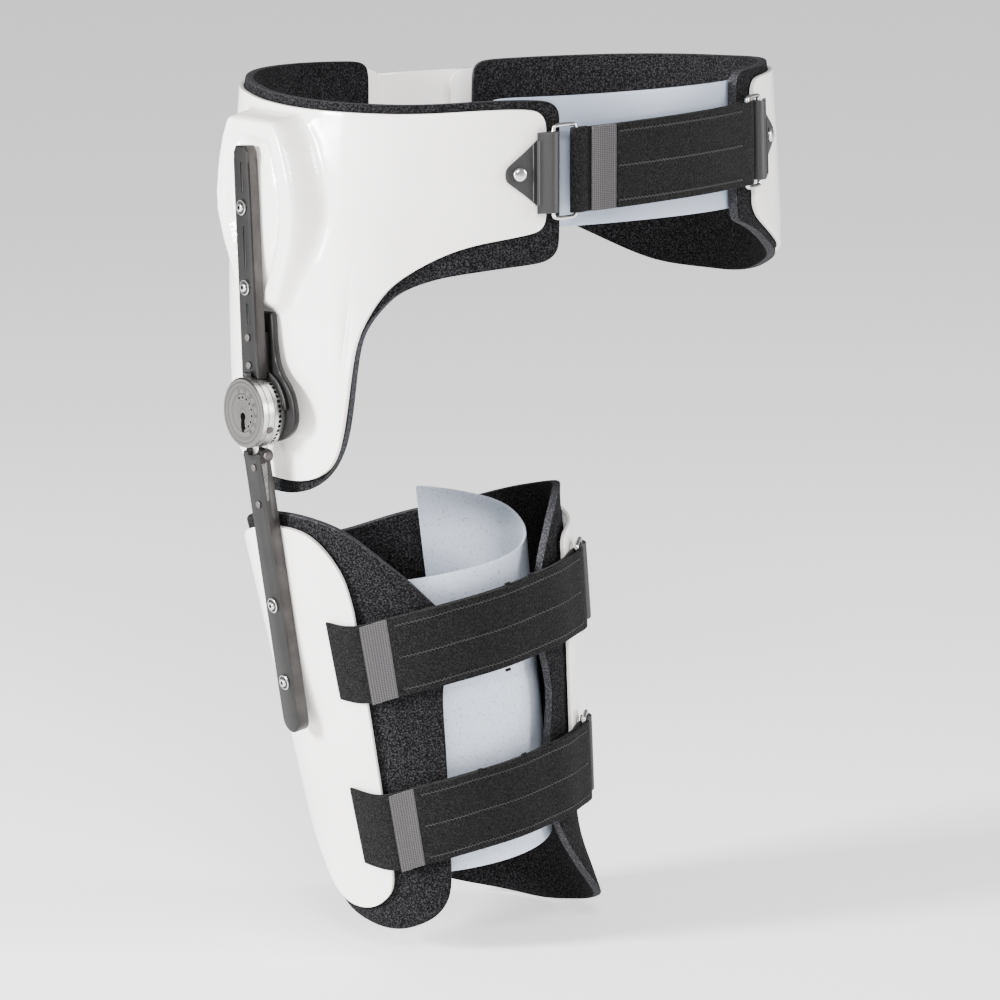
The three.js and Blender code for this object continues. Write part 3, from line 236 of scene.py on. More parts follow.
def flexible_sheet(name, colour, deep, speckled):
    """Bent polyethylene sheet: pale blue grey with a soft gloss, and recycled flecks where speckled."""
    material, tree, shader = finish_of(name, colour, 0.3, IOR=1.51)
    place = add(tree, "ShaderNodeTexCoord").outputs["Object"]
    flecks = add(
        tree,
        "ShaderNodeTexNoise",
        {"Vector": place, "Scale": 700 if speckled else 9, "Detail": 2, "Roughness": 0.6},
    )
    start, end = (0.28, 0.42) if speckled else (0.3, 0.7)
    tree.links.new(
        ramp(tree, flecks.outputs["Fac"], deep, colour, start, end), shader.inputs["Base Color"]
    )
    wave = add(tree, "ShaderNodeTexNoise", {"Vector": place, "Scale": 60, "Detail": 2})
    soft = add(
        tree,
        "ShaderNodeBump",
        {"Height": wave.outputs["Fac"], "Strength": 0.1, "Distance": 0.0006},
    )
    tree.links.new(soft.outputs["Normal"], shader.inputs["Normal"])
    return material


def anodised_bar(name, colour, worn, roughness):
    """Dark anodised aluminium bar, drawn lengthwise: fine lines down it and paler rubbed patches here and
    there. A paler copy of it is painted light on the bars' narrow sides and edges.
    """
    material, tree, shader = finish_of(name, colour, roughness, Metallic=0.2, Specular_IOR_Level=0.3)
    place = add(tree, "ShaderNodeTexCoord").outputs["Object"]
    down = add(tree, "ShaderNodeMapping", {"Vector": place, "Scale": (1, 1, 0.03)})
    drawn = add(
        tree, "ShaderNodeTexNoise", {"Vector": down.outputs["Vector"], "Scale": 1400, "Detail": 2}
    )
    rub = add(tree, "ShaderNodeTexNoise", {"Vector": place, "Scale": 90, "Detail": 4})
    tree.links.new(
        ramp(tree, rub.outputs["Fac"], colour, worn, 0.45, 0.85), shader.inputs["Base Color"]
    )
    lines = add(
        tree,
        "ShaderNodeBump",
        {"Height": drawn.outputs["Fac"], "Strength": 0.15, "Distance": 0.0002},
    )
    tree.links.new(lines.outputs["Normal"], shader.inputs["Normal"])
    return material


def turned_aluminium(name, dark, light, roughness):
    """Aluminium turned on a lathe: rings of tool marks round the dial's middle, drawn 1.1 mm apart so
    that they show."""
    material, tree, shader = finish_of(name, light, roughness, Metallic=1.0)
    place = add(tree, "ShaderNodeTexCoord").outputs["Object"]
    centred = add(
        tree, "ShaderNodeMapping", {"Vector": place, "Location": (-HINGE.x, -HINGE.y, -HINGE.z)}
    )
    apart = add(
        tree,
        "ShaderNodeVectorMath",
        {0: centred.outputs["Vector"], 1: (0, 1, 1)},
        operation="MULTIPLY",
    )
    radius = add(
        tree, "ShaderNodeVectorMath", {0: apart.outputs["Vector"]}, operation="LENGTH"
    ).outputs["Value"]
    depth = add(tree, "ShaderNodeSeparateXYZ", {"Vector": centred.outputs["Vector"]}).outputs["X"]
    both = add(tree, "ShaderNodeMath", {0: radius, 1: depth}, operation="ADD").outputs[0]
    rings = add(
        tree,
        "ShaderNodeTexNoise",
        {"W": both, "Scale": 900, "Detail": 3, "Roughness": 0.8},
        noise_dimensions="1D",
    )
    tree.links.new(
        ramp(tree, rings.outputs["Fac"], dark, light, 0.35, 0.65), shader.inputs["Base Color"]
    )
    cut = add(
        tree,
        "ShaderNodeBump",
        {"Height": rings.outputs["Fac"], "Strength": 0.35, "Distance": 0.0002},
    )
    tree.links.new(cut.outputs["Normal"], shader.inputs["Normal"])
    return material


def plain_metal(name, colour, roughness, scratch):
    """Polished steel with fine handling scratches that roughen its shine here and there."""
    material, tree, shader = finish_of(name, colour, roughness, Metallic=1.0)
    place = add(tree, "ShaderNodeTexCoord").outputs["Object"]
    marks = add(tree, "ShaderNodeTexNoise", {"Vector": place, "Scale": scratch, "Detail": 4})
    duller = add(
        tree,
        "ShaderNodeMapRange",
        {"Value": marks.outputs["Fac"], "To Min": roughness * 0.7, "To Max": roughness * 1.5},
    )
    tree.links.new(duller.outputs["Result"], shader.inputs["Roughness"])
    return material


def moulded_nylon(name, colour, light):
    """Black moulded nylon with a fine spark eroded grain of about 0.4 mm."""
    material, tree, shader = finish_of(name, colour, 0.5)
    place = add(tree, "ShaderNodeTexCoord").outputs["Object"]
    grain = add(tree, "ShaderNodeTexNoise", {"Vector": place, "Scale": 2200, "Detail": 2})
    tree.links.new(ramp(tree, grain.outputs["Fac"], colour, light), shader.inputs["Base Color"])
    pitted = add(
        tree,
        "ShaderNodeBump",
        {"Height": grain.outputs["Fac"], "Strength": 0.2, "Distance": 0.0001},
    )
    tree.links.new(pitted.outputs["Normal"], shader.inputs["Normal"])
    return material


SHELL = moulded_polyethylene()
FOAM = closed_cell_foam("closed_cell_foam", "#060607", "#333234", 1050)
FOAM_CUT = closed_cell_foam("cut_foam_edge", "#29292B", "#515155", 1150)
PILE = loop_pile()
WEBBING = ribbed_webbing()
PELVIC_SHEET = flexible_sheet("pelvic_tongue_sheet", "#A9B2C2", "#8F98AA", False)
THIGH_SHEET = flexible_sheet("speckled_tongue_sheet", "#B7BFCD", "#848D9C", True)
BAR = anodised_bar("anodised_bar", "#0B0A0A", "#151413", 0.46)
# A paler copy of the bar's anodising, painted light on the bars' narrow sides and on the paddle's and
# spacer's edges.
PAINTED_LIGHT_BAR_SIDE = anodised_bar("bar_side_painted_light", "#292726", "#3F3C3B", 0.38)
TURNED = turned_aluminium("turned_aluminium_face", "#403F3E", "#8A8886", 0.34)
# A far paler copy of the turned aluminium: painted highlight on the dial's rim and the wheel behind it.
PAINTED_HIGHLIGHT_RIM = turned_aluminium("turned_aluminium_rim_painted_highlight", "#BDBCBA", "#DCDBD9", 0.3)
STEEL = plain_metal("bright_steel", "#C8C8C7", 0.22, 300)
DULL_STEEL = plain_metal("dull_pin_steel", "#5E5B5A", 0.5, 500)
CHAPE = moulded_nylon("black_nylon", "#0D0D0E", "#1B1B1D")
THREAD = moulded_nylon("stitching_thread", "#1E1D1E", "#333233")
# Black fill of the dial's numbers and its lock screw, and painted shade on the walls of holes, sockets and
# the screws' dishes.
BLACK_FILL_AND_SHADE = moulded_nylon("black_fill_and_painted_shade", "#0B0B0B", "#161616")


# Helpers for pieces


def only(piece):
    """Selects one piece and nothing else."""
    bpy.ops.object.select_all(action="DESELECT")
    piece.select_set(True)
    bpy.context.view_layer.objects.active = piece


def paint(piece, *materials):
    """Gives a piece its materials, in the order of its material slots."""
    piece.data.materials.clear()
    for material in materials:
        piece.data.materials.append(material)


def settle(piece, body, slot, *nodes):
    """Puts a finished piece on its body, in place of the nodes it stands for."""
    only(piece)
    bpy.ops.object.transform_apply(location=True, rotation=True, scale=True)
    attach(piece, body)
    if nodes:
        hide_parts(*nodes)
    return piece


def modify(piece, kind, **settings):
    """Adds a modifier and applies it."""
    made = piece.modifiers.new(kind.title(), kind)
    for name, value in settings.items():
        setattr(made, name, value)
    only(piece)
    bpy.ops.object.modifier_apply(modifier=made.name)


def copied(node):
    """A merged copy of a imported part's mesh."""
    mesh = frame["nodes"][node].data.copy()
    mesh.materials.clear()
    piece = bpy.data.objects.new(node + "_finished", mesh)
    bpy.context.scene.collection.objects.link(piece)
    only(piece)
    if mesh.has_custom_normals:
        bpy.ops.mesh.customdata_custom_splitnormals_clear()
    bpy.ops.object.mode_set(mode="EDIT")
    bpy.ops.mesh.select_all(action="SELECT")
    bpy.ops.mesh.remove_doubles(threshold=0.01 * MM)
    bpy.ops.object.mode_set(mode="OBJECT")
    return piece


def quads(piece, flat=40):
    """Joins pairs of triangles that are nearly flat to each other into quads."""
    only(piece)
    bpy.ops.object.mode_set(mode="EDIT")
    bpy.ops.mesh.select_all(action="SELECT")
    bpy.ops.mesh.tris_convert_to_quads(
        face_threshold=math.radians(flat), shape_threshold=math.radians(70)
    )
    bpy.ops.object.mode_set(mode="OBJECT")


def mark_rim(piece, sharp=55):
    """Gives the faces of the cut edge the second material: those outside the two broad sides."""
    bm = bmesh.new()
    bm.from_mesh(piece.data)
    bm.faces.ensure_lookup_table()
    region = {}
    areas = []
    for face in bm.faces:
        if face.index in region:
            continue
        number = len(areas)
        areas.append(0.0)
        region[face.index] = number
        stack = [face]
        while stack:
            at = stack.pop()
            areas[number] += at.calc_area()
            for edge in at.edges:
                if len(edge.link_faces) == 2 and edge.calc_face_angle() < math.radians(sharp):
                    for other in edge.link_faces:
                        if other.index not in region:
                            region[other.index] = number
                            stack.append(other)
    broad = sorted(range(len(areas)), key=lambda i: -areas[i])[:2]
    for face in bm.faces:
        face.material_index = 0 if region[face.index] in broad else 1
    bm.to_mesh(piece.data)
    bm.free()


def smooth_sheet(node, slot, materials, rim, levels=2, rimmed=False):
    """A curved sheet part with its rim rounded and its surface made smooth."""
    piece = copied(node)
    quads(piece)
    paint(piece, *materials)
    if rimmed:
        mark_rim(piece)
    modify(
        piece,
        "BEVEL",
        width=rim,
        segments=2,
        limit_method="ANGLE",
        angle_limit=math.radians(52),
        material=-1,
    )
    modify(piece, "SUBSURF", levels=levels, render_levels=levels)
    only(piece)
    bpy.ops.object.shade_smooth()
    return settle(piece, BODY_OF[node], slot, node)


def machined(node, slot, materials, arris, rounds=3, joined=None):
    """A plate or bar, with a block joined to it or not, rounder outlines and broken arrises."""
    piece = copied(node)
    if joined:
        modify(piece, "BOOLEAN", object=joined, operation="UNION", solver="EXACT")
        bpy.data.objects.remove(joined)
    only(piece)
    bpy.ops.object.mode_set(mode="EDIT")
    bpy.ops.mesh.select_all(action="SELECT")
    bpy.ops.mesh.dissolve_limited(angle_limit=math.radians(0.6))
    bpy.ops.mesh.select_all(action="DESELECT")
    bpy.ops.object.mode_set(mode="OBJECT")
    bm = bmesh.new()
    bm.from_mesh(piece.data)
    for edge in bm.edges:
        bend = edge.calc_face_angle(0)
        edge.select = math.radians(3) < bend < math.radians(32)
    bm.to_mesh(piece.data)
    bm.free()
    bpy.ops.object.mode_set(mode="EDIT")
    bpy.ops.mesh.select_mode(type="EDGE")
    if rounds:
        bpy.ops.mesh.bevel(offset_type="PERCENT", offset_pct=33, segments=rounds, affect="EDGES")
    bpy.ops.object.mode_set(mode="OBJECT")
    paint(piece, *materials)
    modify(
        piece,
        "BEVEL",
        width=arris,
        segments=2,
        limit_method="ANGLE",
        angle_limit=math.radians(40),
        material=len(materials) - 1,
    )
    only(piece)
    bpy.ops.object.shade_smooth_by_angle(angle=math.radians(32))
    return settle(piece, BODY_OF[node], slot, node)


def wire(node, slot, material, plump):
    """A bent wire part made round."""
    piece = copied(node)
    quads(piece, 80)
    only(piece)
    bpy.ops.object.mode_set(mode="EDIT")
    bpy.ops.mesh.select_all(action="SELECT")
    bpy.ops.transform.shrink_fatten(value=plump)
    bpy.ops.object.mode_set(mode="OBJECT")
    paint(piece, material)
    modify(piece, "SUBSURF", levels=2, render_levels=2)
    only(piece)
    bpy.ops.object.shade_smooth()
    return settle(piece, BODY_OF[node], slot, node)


def foot_of(node):
    """Where a small round head stands: the middle of its flat foot, the way it points and its radius."""
    bm = bmesh.new()
    bm.from_mesh(frame["nodes"][node].data)
    bmesh.ops.remove_doubles(bm, verts=bm.verts, dist=0.01 * MM)
    bmesh.ops.dissolve_limit(bm, angle_limit=math.radians(1), verts=bm.verts, edges=bm.edges)
    foot = max(bm.faces, key=lambda f: f.calc_area())
    middle = sum((v.co for v in foot.verts), Vector()) / len(foot.verts)
    radius = max((v.co - middle).length for v in foot.verts)
    axis = -foot.normal
    rise = max((v.co - middle).dot(axis) for v in bm.verts)
    result = middle.copy(), axis.copy(), radius, rise
    bm.free()
    return result


def turned(name, steps, centre, axis, sides=48):
    """A turned solid: a disc drawn out step by step, each step a radius and a height along the axis."""
    axis = axis.normalized()
    turn = axis.to_track_quat("Z", "Y").to_euler()
    radius, height = steps[0]
    bpy.ops.mesh.primitive_circle_add(
        vertices=sides,
        radius=radius,
        fill_type="NGON",
        location=centre + axis * height,
        rotation=turn,
    )
    piece = bpy.context.object
    piece.name = name
    bpy.ops.object.transform_apply(location=True, rotation=True, scale=True)
    bpy.ops.object.mode_set(mode="EDIT")
    bpy.ops.mesh.select_all(action="SELECT")
    for wide, high in steps[1:]:
        bpy.ops.mesh.extrude_region_move(
            TRANSFORM_OT_translate={"value": axis * (high - height)}
        )
        share = wide / radius
        bpy.ops.transform.resize(
            value=(share, share, share), center_override=centre + axis * high
        )
        radius, height = wide, high
    bpy.ops.mesh.select_all(action="SELECT")
    bpy.ops.mesh.normals_make_consistent(inside=False)
    bpy.ops.object.mode_set(mode="OBJECT")
    bpy.ops.object.shade_smooth_by_angle(angle=math.radians(35))
    return piece


def cut_away(piece, cutters):
    """Cuts solids out of a piece, which takes their material on the cut faces."""
    only(cutters[0])
    for cutter in cutters:
        cutter.select_set(True)
    if len(cutters) > 1:
        bpy.ops.object.join()
    tool = bpy.context.object
    modify(piece, "BOOLEAN", object=tool, operation="DIFFERENCE", solver="EXACT")
    bpy.data.objects.remove(tool)
    only(piece)
    bpy.ops.object.shade_smooth_by_angle(angle=math.radians(35))


def thread_lines(name, body, slot, lines, radius, material):
    """Round threads or ridges along lists of points, as one mesh."""
    curve = bpy.data.curves.new(name, "CURVE")
    curve.dimensions = "3D"
    curve.bevel_depth = radius
    curve.bevel_resolution = 1
    curve.use_fill_caps = True
    for points in lines:
        spline = curve.splines.new("POLY")
        spline.points.add(len(points) - 1)
        for at, point in zip(spline.points, points):
            at.co = (*point, 1)
    piece = bpy.data.objects.new(name, curve)
    bpy.context.scene.collection.objects.link(piece)
    only(piece)
    bpy.ops.object.convert(target="MESH")
    piece = bpy.context.object
    paint(piece, material)
    bpy.ops.object.shade_smooth()
    return settle(piece, body, slot)


def leg_point(x, y, z):
    """A point of the leaning thigh section in the whole brace's frame."""
    lean = Matrix.Rotation(-LEG_LEAN, 3, "Y")
    return PIVOT + lean @ Vector((x, y, z))


def leg_way(x, y, z):
    """A direction of the leaning thigh section in the whole brace's frame."""
    return Matrix.Rotation(-LEG_LEAN, 3, "Y") @ Vector((x, y, z))


def leg_block(name, middle, half):
    """A block set square to the leaning lower bar: its middle and half its sizes, in millimetres."""
    bpy.ops.mesh.primitive_cube_add(
        size=2,
        location=leg_point(*(m * MM for m in middle)),
        rotation=(0, -LEG_LEAN, 0),
        scale=[h * MM for h in half],
    )
    piece = bpy.context.object
    piece.name = name
    return piece


def tree_of(piece):
    """A piece's surface, for finding where a line meets it."""
    bm = bmesh.new()
    bm.from_mesh(piece.data)
    found = BVHTree.FromBMesh(bm)
    bm.free()
    return found


def on_band(tree, turn, height, stand=0.0):
    """The outermost point of a piece at a turn round the pelvic band and a height."""
    away = Vector((-math.sin(math.radians(turn)), -math.cos(math.radians(turn)), 0))
    start = away * 0.3 + Vector((0, 0, height))
    hit = tree.ray_cast(start, -away)
    return hit[0] + hit[1] * stand if hit[0] else None


def on_cuff(tree, turn, depth, stand=0.0):
    """The outermost point of a piece at a turn round the thigh cuff and a depth below the pivot."""
    s, c = math.sin(math.radians(turn)), math.cos(math.radians(turn))
    start = leg_point(CUFF_CENTRE[0] - 0.2 * s, CUFF_CENTRE[1] - 0.2 * c, -depth)
    hit = tree.ray_cast(start, leg_way(s, c, 0))
    return hit[0] + hit[1] * stand if hit[0] else None


# Pelvic section


def pelvic_shells():
    for node, levels in (("near_pelvic_shell", 3), ("far_pelvic_shell", 2), ("back_plate", 2)):
        sheet = smooth_sheet(node, "shell_plastic", [SHELL], 0.9 * MM, levels)
        if node == "near_pelvic_shell":
            crease_platform(sheet)
    for node in ("near_pelvic_foam", "far_pelvic_foam"):
        lining = smooth_sheet(node, "lining_foam", [FOAM, FOAM_CUT], 1.1 * MM, rimmed=True)
    smooth_sheet("pelvic_tongue", "tongue_plastic", [PELVIC_SHEET], 0.4 * MM)


# Half the platform's breadth at heights above the hinge, as shares of the upper bar's reach
PLATFORM = (
    (0.36, 0.4),
    (0.42, 0.48),
    (0.51, 0.67),
    (0.62, 0.87),
    (0.73, 1),
    (0.81, 1),
    (0.9, 0.93),
    (1.01, 0.8),
    (1.1, 0.6),
)


def between(table, at):
    """A value from a table of places and values, straight from one row to the next."""
    for (a, low), (b, high) in zip(table, table[1:]):
        if at <= b:
            return low + (high - low) * max(0, at - a) / (b - a)
    return table[-1][1]


def eased(share):
    """A share from 0 to 1 that starts and ends slowly."""
    share = min(max(share, 0), 1)
    return share * share * (3 - 2 * share)


def crease_platform(sheet):
    """Draws the bar's platform out to its edge, so that it ends in a crease and a shallow gutter."""
    outward = [vertex.normal.x < -0.35 for vertex in sheet.data.vertices]
    for vertex, out in zip(sheet.data.vertices, outward):
        x, y, z = vertex.co
        if not out or x > -150 * MM or z < -85 * MM:
            continue
        rise = (z - HINGE.z) / UPPER_REACH
        line = HINGE.y + (z - HINGE.z) * math.tan(BAR_TILT)
        inside = PLATFORM_HALF * between(PLATFORM, rise) - abs(y - line)
        over_foot = z - HINGE.z - PLATFORM_FOOT
        ends = eased((37 * MM - z) / (15 * MM)) * eased(over_foot / (11 * MM))
        crisp_ends = eased((39 * MM - z) / (6 * MM)) * eased(over_foot / (7 * MM))
        was = eased(inside / (17 * MM)) * ends
        inside += 4 * MM
        now = eased(inside / (8 * MM)) * crisp_ends
        if was < 0.97 and x > BAR_FOOT:
            bare = (x - BAR_FOOT * was) / (1 - was)
            x = bare + (BAR_FOOT - bare) * max(now, was)
        gutter = 0.7 * MM * math.exp(-(((inside + 1.5 * MM) / (2.2 * MM)) ** 2)) * crisp_ends
        vertex.co.x = x + gutter


def pelvic_strap():
    strap = smooth_sheet("pelvic_strap", "strap_pile", [PILE], 0.5 * MM)
    tab = smooth_sheet("pelvic_strap_tab", "tab_webbing", [WEBBING], 0.4 * MM)
    web_map(tab, lambda p: (math.atan2(-p.x, -p.y) * 145, p.z * 1000))
    for node in ("near_chape", "far_chape"):
        chape = smooth_sheet(node, "chape_plastic", [CHAPE], 0.5 * MM)
        ribs = []
        tree = tree_of(chape)
        for run in (-7.5, -4.5):
            turned_by = run * MM / BAND_ARC
            side = NEAR_FRONT - turned_by if node == "near_chape" else FAR_FRONT + turned_by
            points = [on_band(tree, side, (STRAP_HEIGHT + a) * MM, 0.2 * MM) for a in range(-19, 20, 2)]
            ribs.append([p for p in points if p])
        thread_lines(node + "_ribs", BODY_OF[node], "chape_plastic", ribs, 0.7 * MM, CHAPE)
    for node in ("near_ring", "far_ring"):
        wire(node, "bright_steel", STEEL, 0.25 * MM)
    tree = tree_of(strap)
    rows = []
    for across in STITCH_ROWS:
        row = []
        for i in range(77):
            run = 43.5 + (139 - 43.5) * i / 76
            height = STRAP_HEIGHT + 0.1 * run / 2.42 + across + (STITCH_SWING if i % 2 else -STITCH_SWING)
            point = on_band(tree, NEAR_FRONT - run / 2.42, height * MM, 0.1 * MM)
            if point:
                row.append(point)
        rows.append(row)
    thread_lines("pelvic_strap_stitches", "pelvis", "strap_pile", rows, STITCH_RADIUS, THREAD)


def web_map(piece, at):
    """Gives a piece a map in millimetres along and across the webbing."""
    layer = piece.data.uv_layers.new(name="web")
    for loop in piece.data.loops:
        layer.data[loop.index].uv = at(piece.data.vertices[loop.vertex_index].co)


# Fasteners


def rivet(node):
    centre, axis, radius, rise = foot_of(node)
    steps = [
        (radius, 0),
        (radius, rise * 0.25),
        (radius * 0.93, rise * 0.5),
        (radius * 0.78, rise * 0.75),
        (radius * 0.55, rise * 0.92),
        (radius * 0.25, rise),
        (radius * 0.12, rise),
    ]
    piece = turned(node + "_finished", steps, centre, axis, 40)
    paint(piece, STEEL)
    settle(piece, BODY_OF[node], "bright_steel", node)


def pin(node):
    centre, axis, radius, rise = foot_of(node)
    steps = [
        (radius, 0),
        (radius, rise * 0.5),
        (radius * 0.85, rise * 0.8),
        (radius * 0.6, rise * 0.8),
    ]
    piece = turned(node + "_finished", steps, centre, axis, 32)
    paint(piece, DULL_STEEL)
    settle(piece, BODY_OF[node], "bright_steel", node)


def socket_screw(node):
    """A socket screw in a dished washer: a thin bright lip, a dish painted black as shade and a domed head
    with a hex, its socket painted black as shade.
    """
    centre, axis, radius, rise = foot_of(node)
    steps = [
        (radius, 0),
        (radius, rise * 0.35),
        (radius * 0.94, rise * 0.45),
        (radius * 0.86, rise * 0.45),
        (radius * 0.78, rise * 0.2),
        (radius * 0.6, rise * 0.2),
        (radius * 0.6, rise * 0.7),
        (radius * 0.54, rise * 0.9),
        (radius * 0.42, rise),
        (radius * 0.3, rise),
    ]
    piece = turned(node + "_finished", steps, centre, axis, 48)
    paint(piece, STEEL, BLACK_FILL_AND_SHADE)
    # The dish is painted black: painted shade in it.
    for face in piece.data.polygons:
        away = (face.center - centre).cross(axis).length
        if radius * 0.61 < away < radius * 0.84:
            face.material_index = 1
    deep = rise * 0.9
    bpy.ops.mesh.primitive_cylinder_add(
        vertices=6,
        radius=radius * 0.3,
        depth=deep * 2,
        location=centre + axis * (rise * 1.25),
        rotation=axis.to_track_quat("Z", "Y").to_euler(),
    )
    key = bpy.context.object
    # The hex socket's walls take the black: painted shade in it.
    paint(key, BLACK_FILL_AND_SHADE)
    cut_away(piece, [key])
    settle(piece, BODY_OF[node], "bright_steel", node)


# Hinge and bars


def hinge():
    # The paddle's and spacer's broken edges take the paler bar copy, a painted highlight along them; the
    # bars' narrow sides are painted lighter too.
    machined("hinge_paddle", "bar_coat", [BAR, PAINTED_LIGHT_BAR_SIDE], 0.5 * MM)
    machined("hinge_spacer", "bar_coat", [BAR, PAINTED_LIGHT_BAR_SIDE], 0.4 * MM)
    bar = machined("upper_bar", "bar_coat", [BAR, BAR], 0.9 * MM)
    paint_light_on_sides(bar)
    for rise, half in ((139.5, 9), (98, 12.5), (58.5, 6)):
        slide = rise * MM
        bpy.ops.mesh.primitive_cube_add(
            size=2 * MM,
            location=(
                -204 * MM,
                HINGE.y - 1.2 * MM + slide * math.sin(BAR_TILT),
                HINGE.z + slide * math.cos(BAR_TILT),
            ),
            rotation=(-BAR_TILT, 0, 0),
            scale=(0.7, 1.5, half),
        )
        groove = bpy.context.object
        paint(groove, BAR)
        modify(groove, "BEVEL", width=0.4 * MM, segments=2)
        cut_away(bar, [groove])
    cover = leg_block("fork_cover", (-4.9, 0, -13), (0.7, 4, 13.5))
    paint_light_on_sides(machined("lower_bar", "bar_coat", [BAR, BAR], 0.5 * MM, joined=cover))
    wedge = leg_block("fork_wedge", (-2.9, -7.6, -15.5), (1.9, 0.8, 11.5))
    for corner in wedge.data.vertices:
        if corner.co.z < 0:
            corner.co.x = corner.co.x * 0.3 - 1.1 * MM
    paint(wedge, TURNED)
    modify(wedge, "BEVEL", width=0.1 * MM, segments=2)
    settle(wedge, "thigh", "dial_aluminium")
    place = leg_point(-5.7 * MM, -0.6 * MM, -7 * MM)
    steps = [(2.2 * MM, 0), (2.2 * MM, 0.4 * MM), (1.9 * MM, 0.6 * MM), (1.3 * MM, 0.6 * MM)]
    head = turned("fork_cover_pin", steps, place, leg_way(-1, 0, 0), 32)
    paint(head, DULL_STEEL)
    settle(head, "thigh", "bright_steel")
    hinge_wheel()
    machined("abduction_pin", "bright_steel", [DULL_STEEL, DULL_STEEL], 0.2 * MM)
    dial()


def paint_light_on_sides(bar):
    """Paints the bar's two narrow sides paler than its outer face, as painted light on them."""
    bar.data.materials[1] = PAINTED_LIGHT_BAR_SIDE
    for face in bar.data.polygons:
        face.material_index = 1 if abs(face.normal.y) > 0.75 else 0


def hinge_wheel():
    """The turning wheel behind the dial, with a row of stop holes round its edge, clear of the tenon."""
    # The wheel is in the paler rim copy of the turned aluminium: a painted highlight on its edge.
    wheel = machined("hinge_wheel", "dial_aluminium", [PAINTED_HIGHLIGHT_RIM, PAINTED_HIGHLIGHT_RIM], 0.3 * MM, 4)
    wheel.data.materials.append(BLACK_FILL_AND_SHADE)
    holes = []
    for i in range(41):
        angle = math.radians(8.35 * i - 77)
        away = Vector((0, -math.cos(angle), math.sin(angle)))
        bpy.ops.mesh.primitive_cylinder_add(
            vertices=16,
            radius=1.1 * MM,
            depth=4 * MM,
            location=Vector((WHEEL_MIDDLE, HINGE.y, HINGE.z)) + away * DIAL_RADIUS,
            rotation=away.to_track_quat("Z", "Y").to_euler(),
        )
        holes.append(bpy.context.object)
        # The holes' walls take the black: painted shade in them.
        paint(holes[-1], BLACK_FILL_AND_SHADE)
    cut_away(wheel, holes)
    for middle, size in (
        ((-204, 0, PIVOT.z / MM - 18.5), (11.2, 12, 30)),
        ((-198, 0, PIVOT.z / MM - 29), (16, 12, 30)),
    ):
        bpy.ops.mesh.primitive_cube_add(
            size=1,
            location=(middle[0] * MM, HINGE.y, middle[2] * MM),
            scale=[side * MM for side in size],
        )
        paint(bpy.context.object, PAINTED_HIGHLIGHT_RIM)
        cut_away(wheel, [bpy.context.object])


def dial():
    """The dial: a turned disc grooved round its edge, with a keyhole, an arc of holes and two screws."""
    back = -201.3 * MM
    face = DIAL_FACE
    centre = Vector((back, HINGE.y, HINGE.z))
    thick = back - face
    steps = [
        (DIAL_RADIUS - 0.4 * MM, 0),
        (DIAL_RADIUS, 0.4 * MM),
        (DIAL_RADIUS, thick * 0.46),
        (DIAL_RADIUS - 0.35 * MM, thick * 0.5),
        (DIAL_RADIUS - 0.35 * MM, thick * 0.54),
        (DIAL_RADIUS, thick * 0.58),
        (DIAL_RADIUS, thick - 0.9 * MM),
        (DIAL_RADIUS - 0.9 * MM, thick),
        (DIAL_RADIUS * 0.5, thick),
    ]
    piece = turned("hinge_dial_finished", steps, centre, OUT, 128)
    paint(piece, TURNED, BLACK_FILL_AND_SHADE, PAINTED_HIGHLIGHT_RIM)
    # The rim faces take the much paler copy of the turned aluminium: a painted highlight round the dial's
    # edge.
    for side in piece.data.polygons:
        if side.normal.dot(OUT) < 0.5:
            side.material_index = 2
    cutters = []
    for i in range(9):
        angle = math.radians(115 - 24 * i)
        away = Vector((0, -math.cos(angle), math.sin(angle)))
        bpy.ops.mesh.primitive_cylinder_add(
            vertices=12,
            radius=0.8 * MM,
            depth=3 * MM,
            location=Vector((face, HINGE.y, HINGE.z)) + away * 9.2 * MM,
            rotation=(0, math.radians(90), 0),
        )
        cutters.append(bpy.context.object)
    for high, wide, tall in ((-2.4, 2.6, 2.6), (-7.2, 2.1, 4.6)):
        bpy.ops.mesh.primitive_cylinder_add(
            vertices=32,
            radius=1 * MM,
            depth=8 * MM,
            location=(face, HINGE.y, HINGE.z + high * MM),
            rotation=(0, math.radians(90), 0),
        )
        bpy.ops.object.transform_apply(location=False, rotation=True, scale=True)
        bpy.context.object.scale = (1, wide, tall)
        bpy.ops.object.transform_apply(location=False, rotation=False, scale=True)
        cutters.append(bpy.context.object)
    # The holes' and the keyhole's walls take the black: painted shade in them.
    for cutter in cutters:
        paint(cutter, BLACK_FILL_AND_SHADE)
    cut_away(piece, cutters[:9])
    for cutter in cutters[9:]:
        cut_away(piece, [cutter])
    settle(piece, "pelvis", "dial_aluminium", "hinge_dial")
    up = Vector((0, 0, 1))
    down_forward = Vector((0, -math.cos(math.radians(24)), -math.sin(math.radians(24))))
    for name, away, aside, material, sides, size, proud in (
        ("dial_lock_screw", up, -4.6 * MM, BLACK_FILL_AND_SHADE, 6, 2.6 * MM, 2.9 * MM),
        ("dial_stop_screw", down_forward, -2.6 * MM, DULL_STEEL, 24, 1.9 * MM, 0.4 * MM),
    ):
        steps = [
            (size * 1.25, -0.6 * MM),
            (size * 1.25, proud * 0.2),
            (size, proud * 0.2),
            (size, proud * 0.9),
            (size * 0.85, proud),
            (size * 0.4, proud),
            (size * 0.35, proud * 0.6),
        ]
        screw = turned(
            name, steps, Vector((back + aside, HINGE.y, HINGE.z)) + away * DIAL_RADIUS, away, sides
        )
        paint(screw, material)
        settle(screw, "pelvis", "bright_steel")
    numbers()


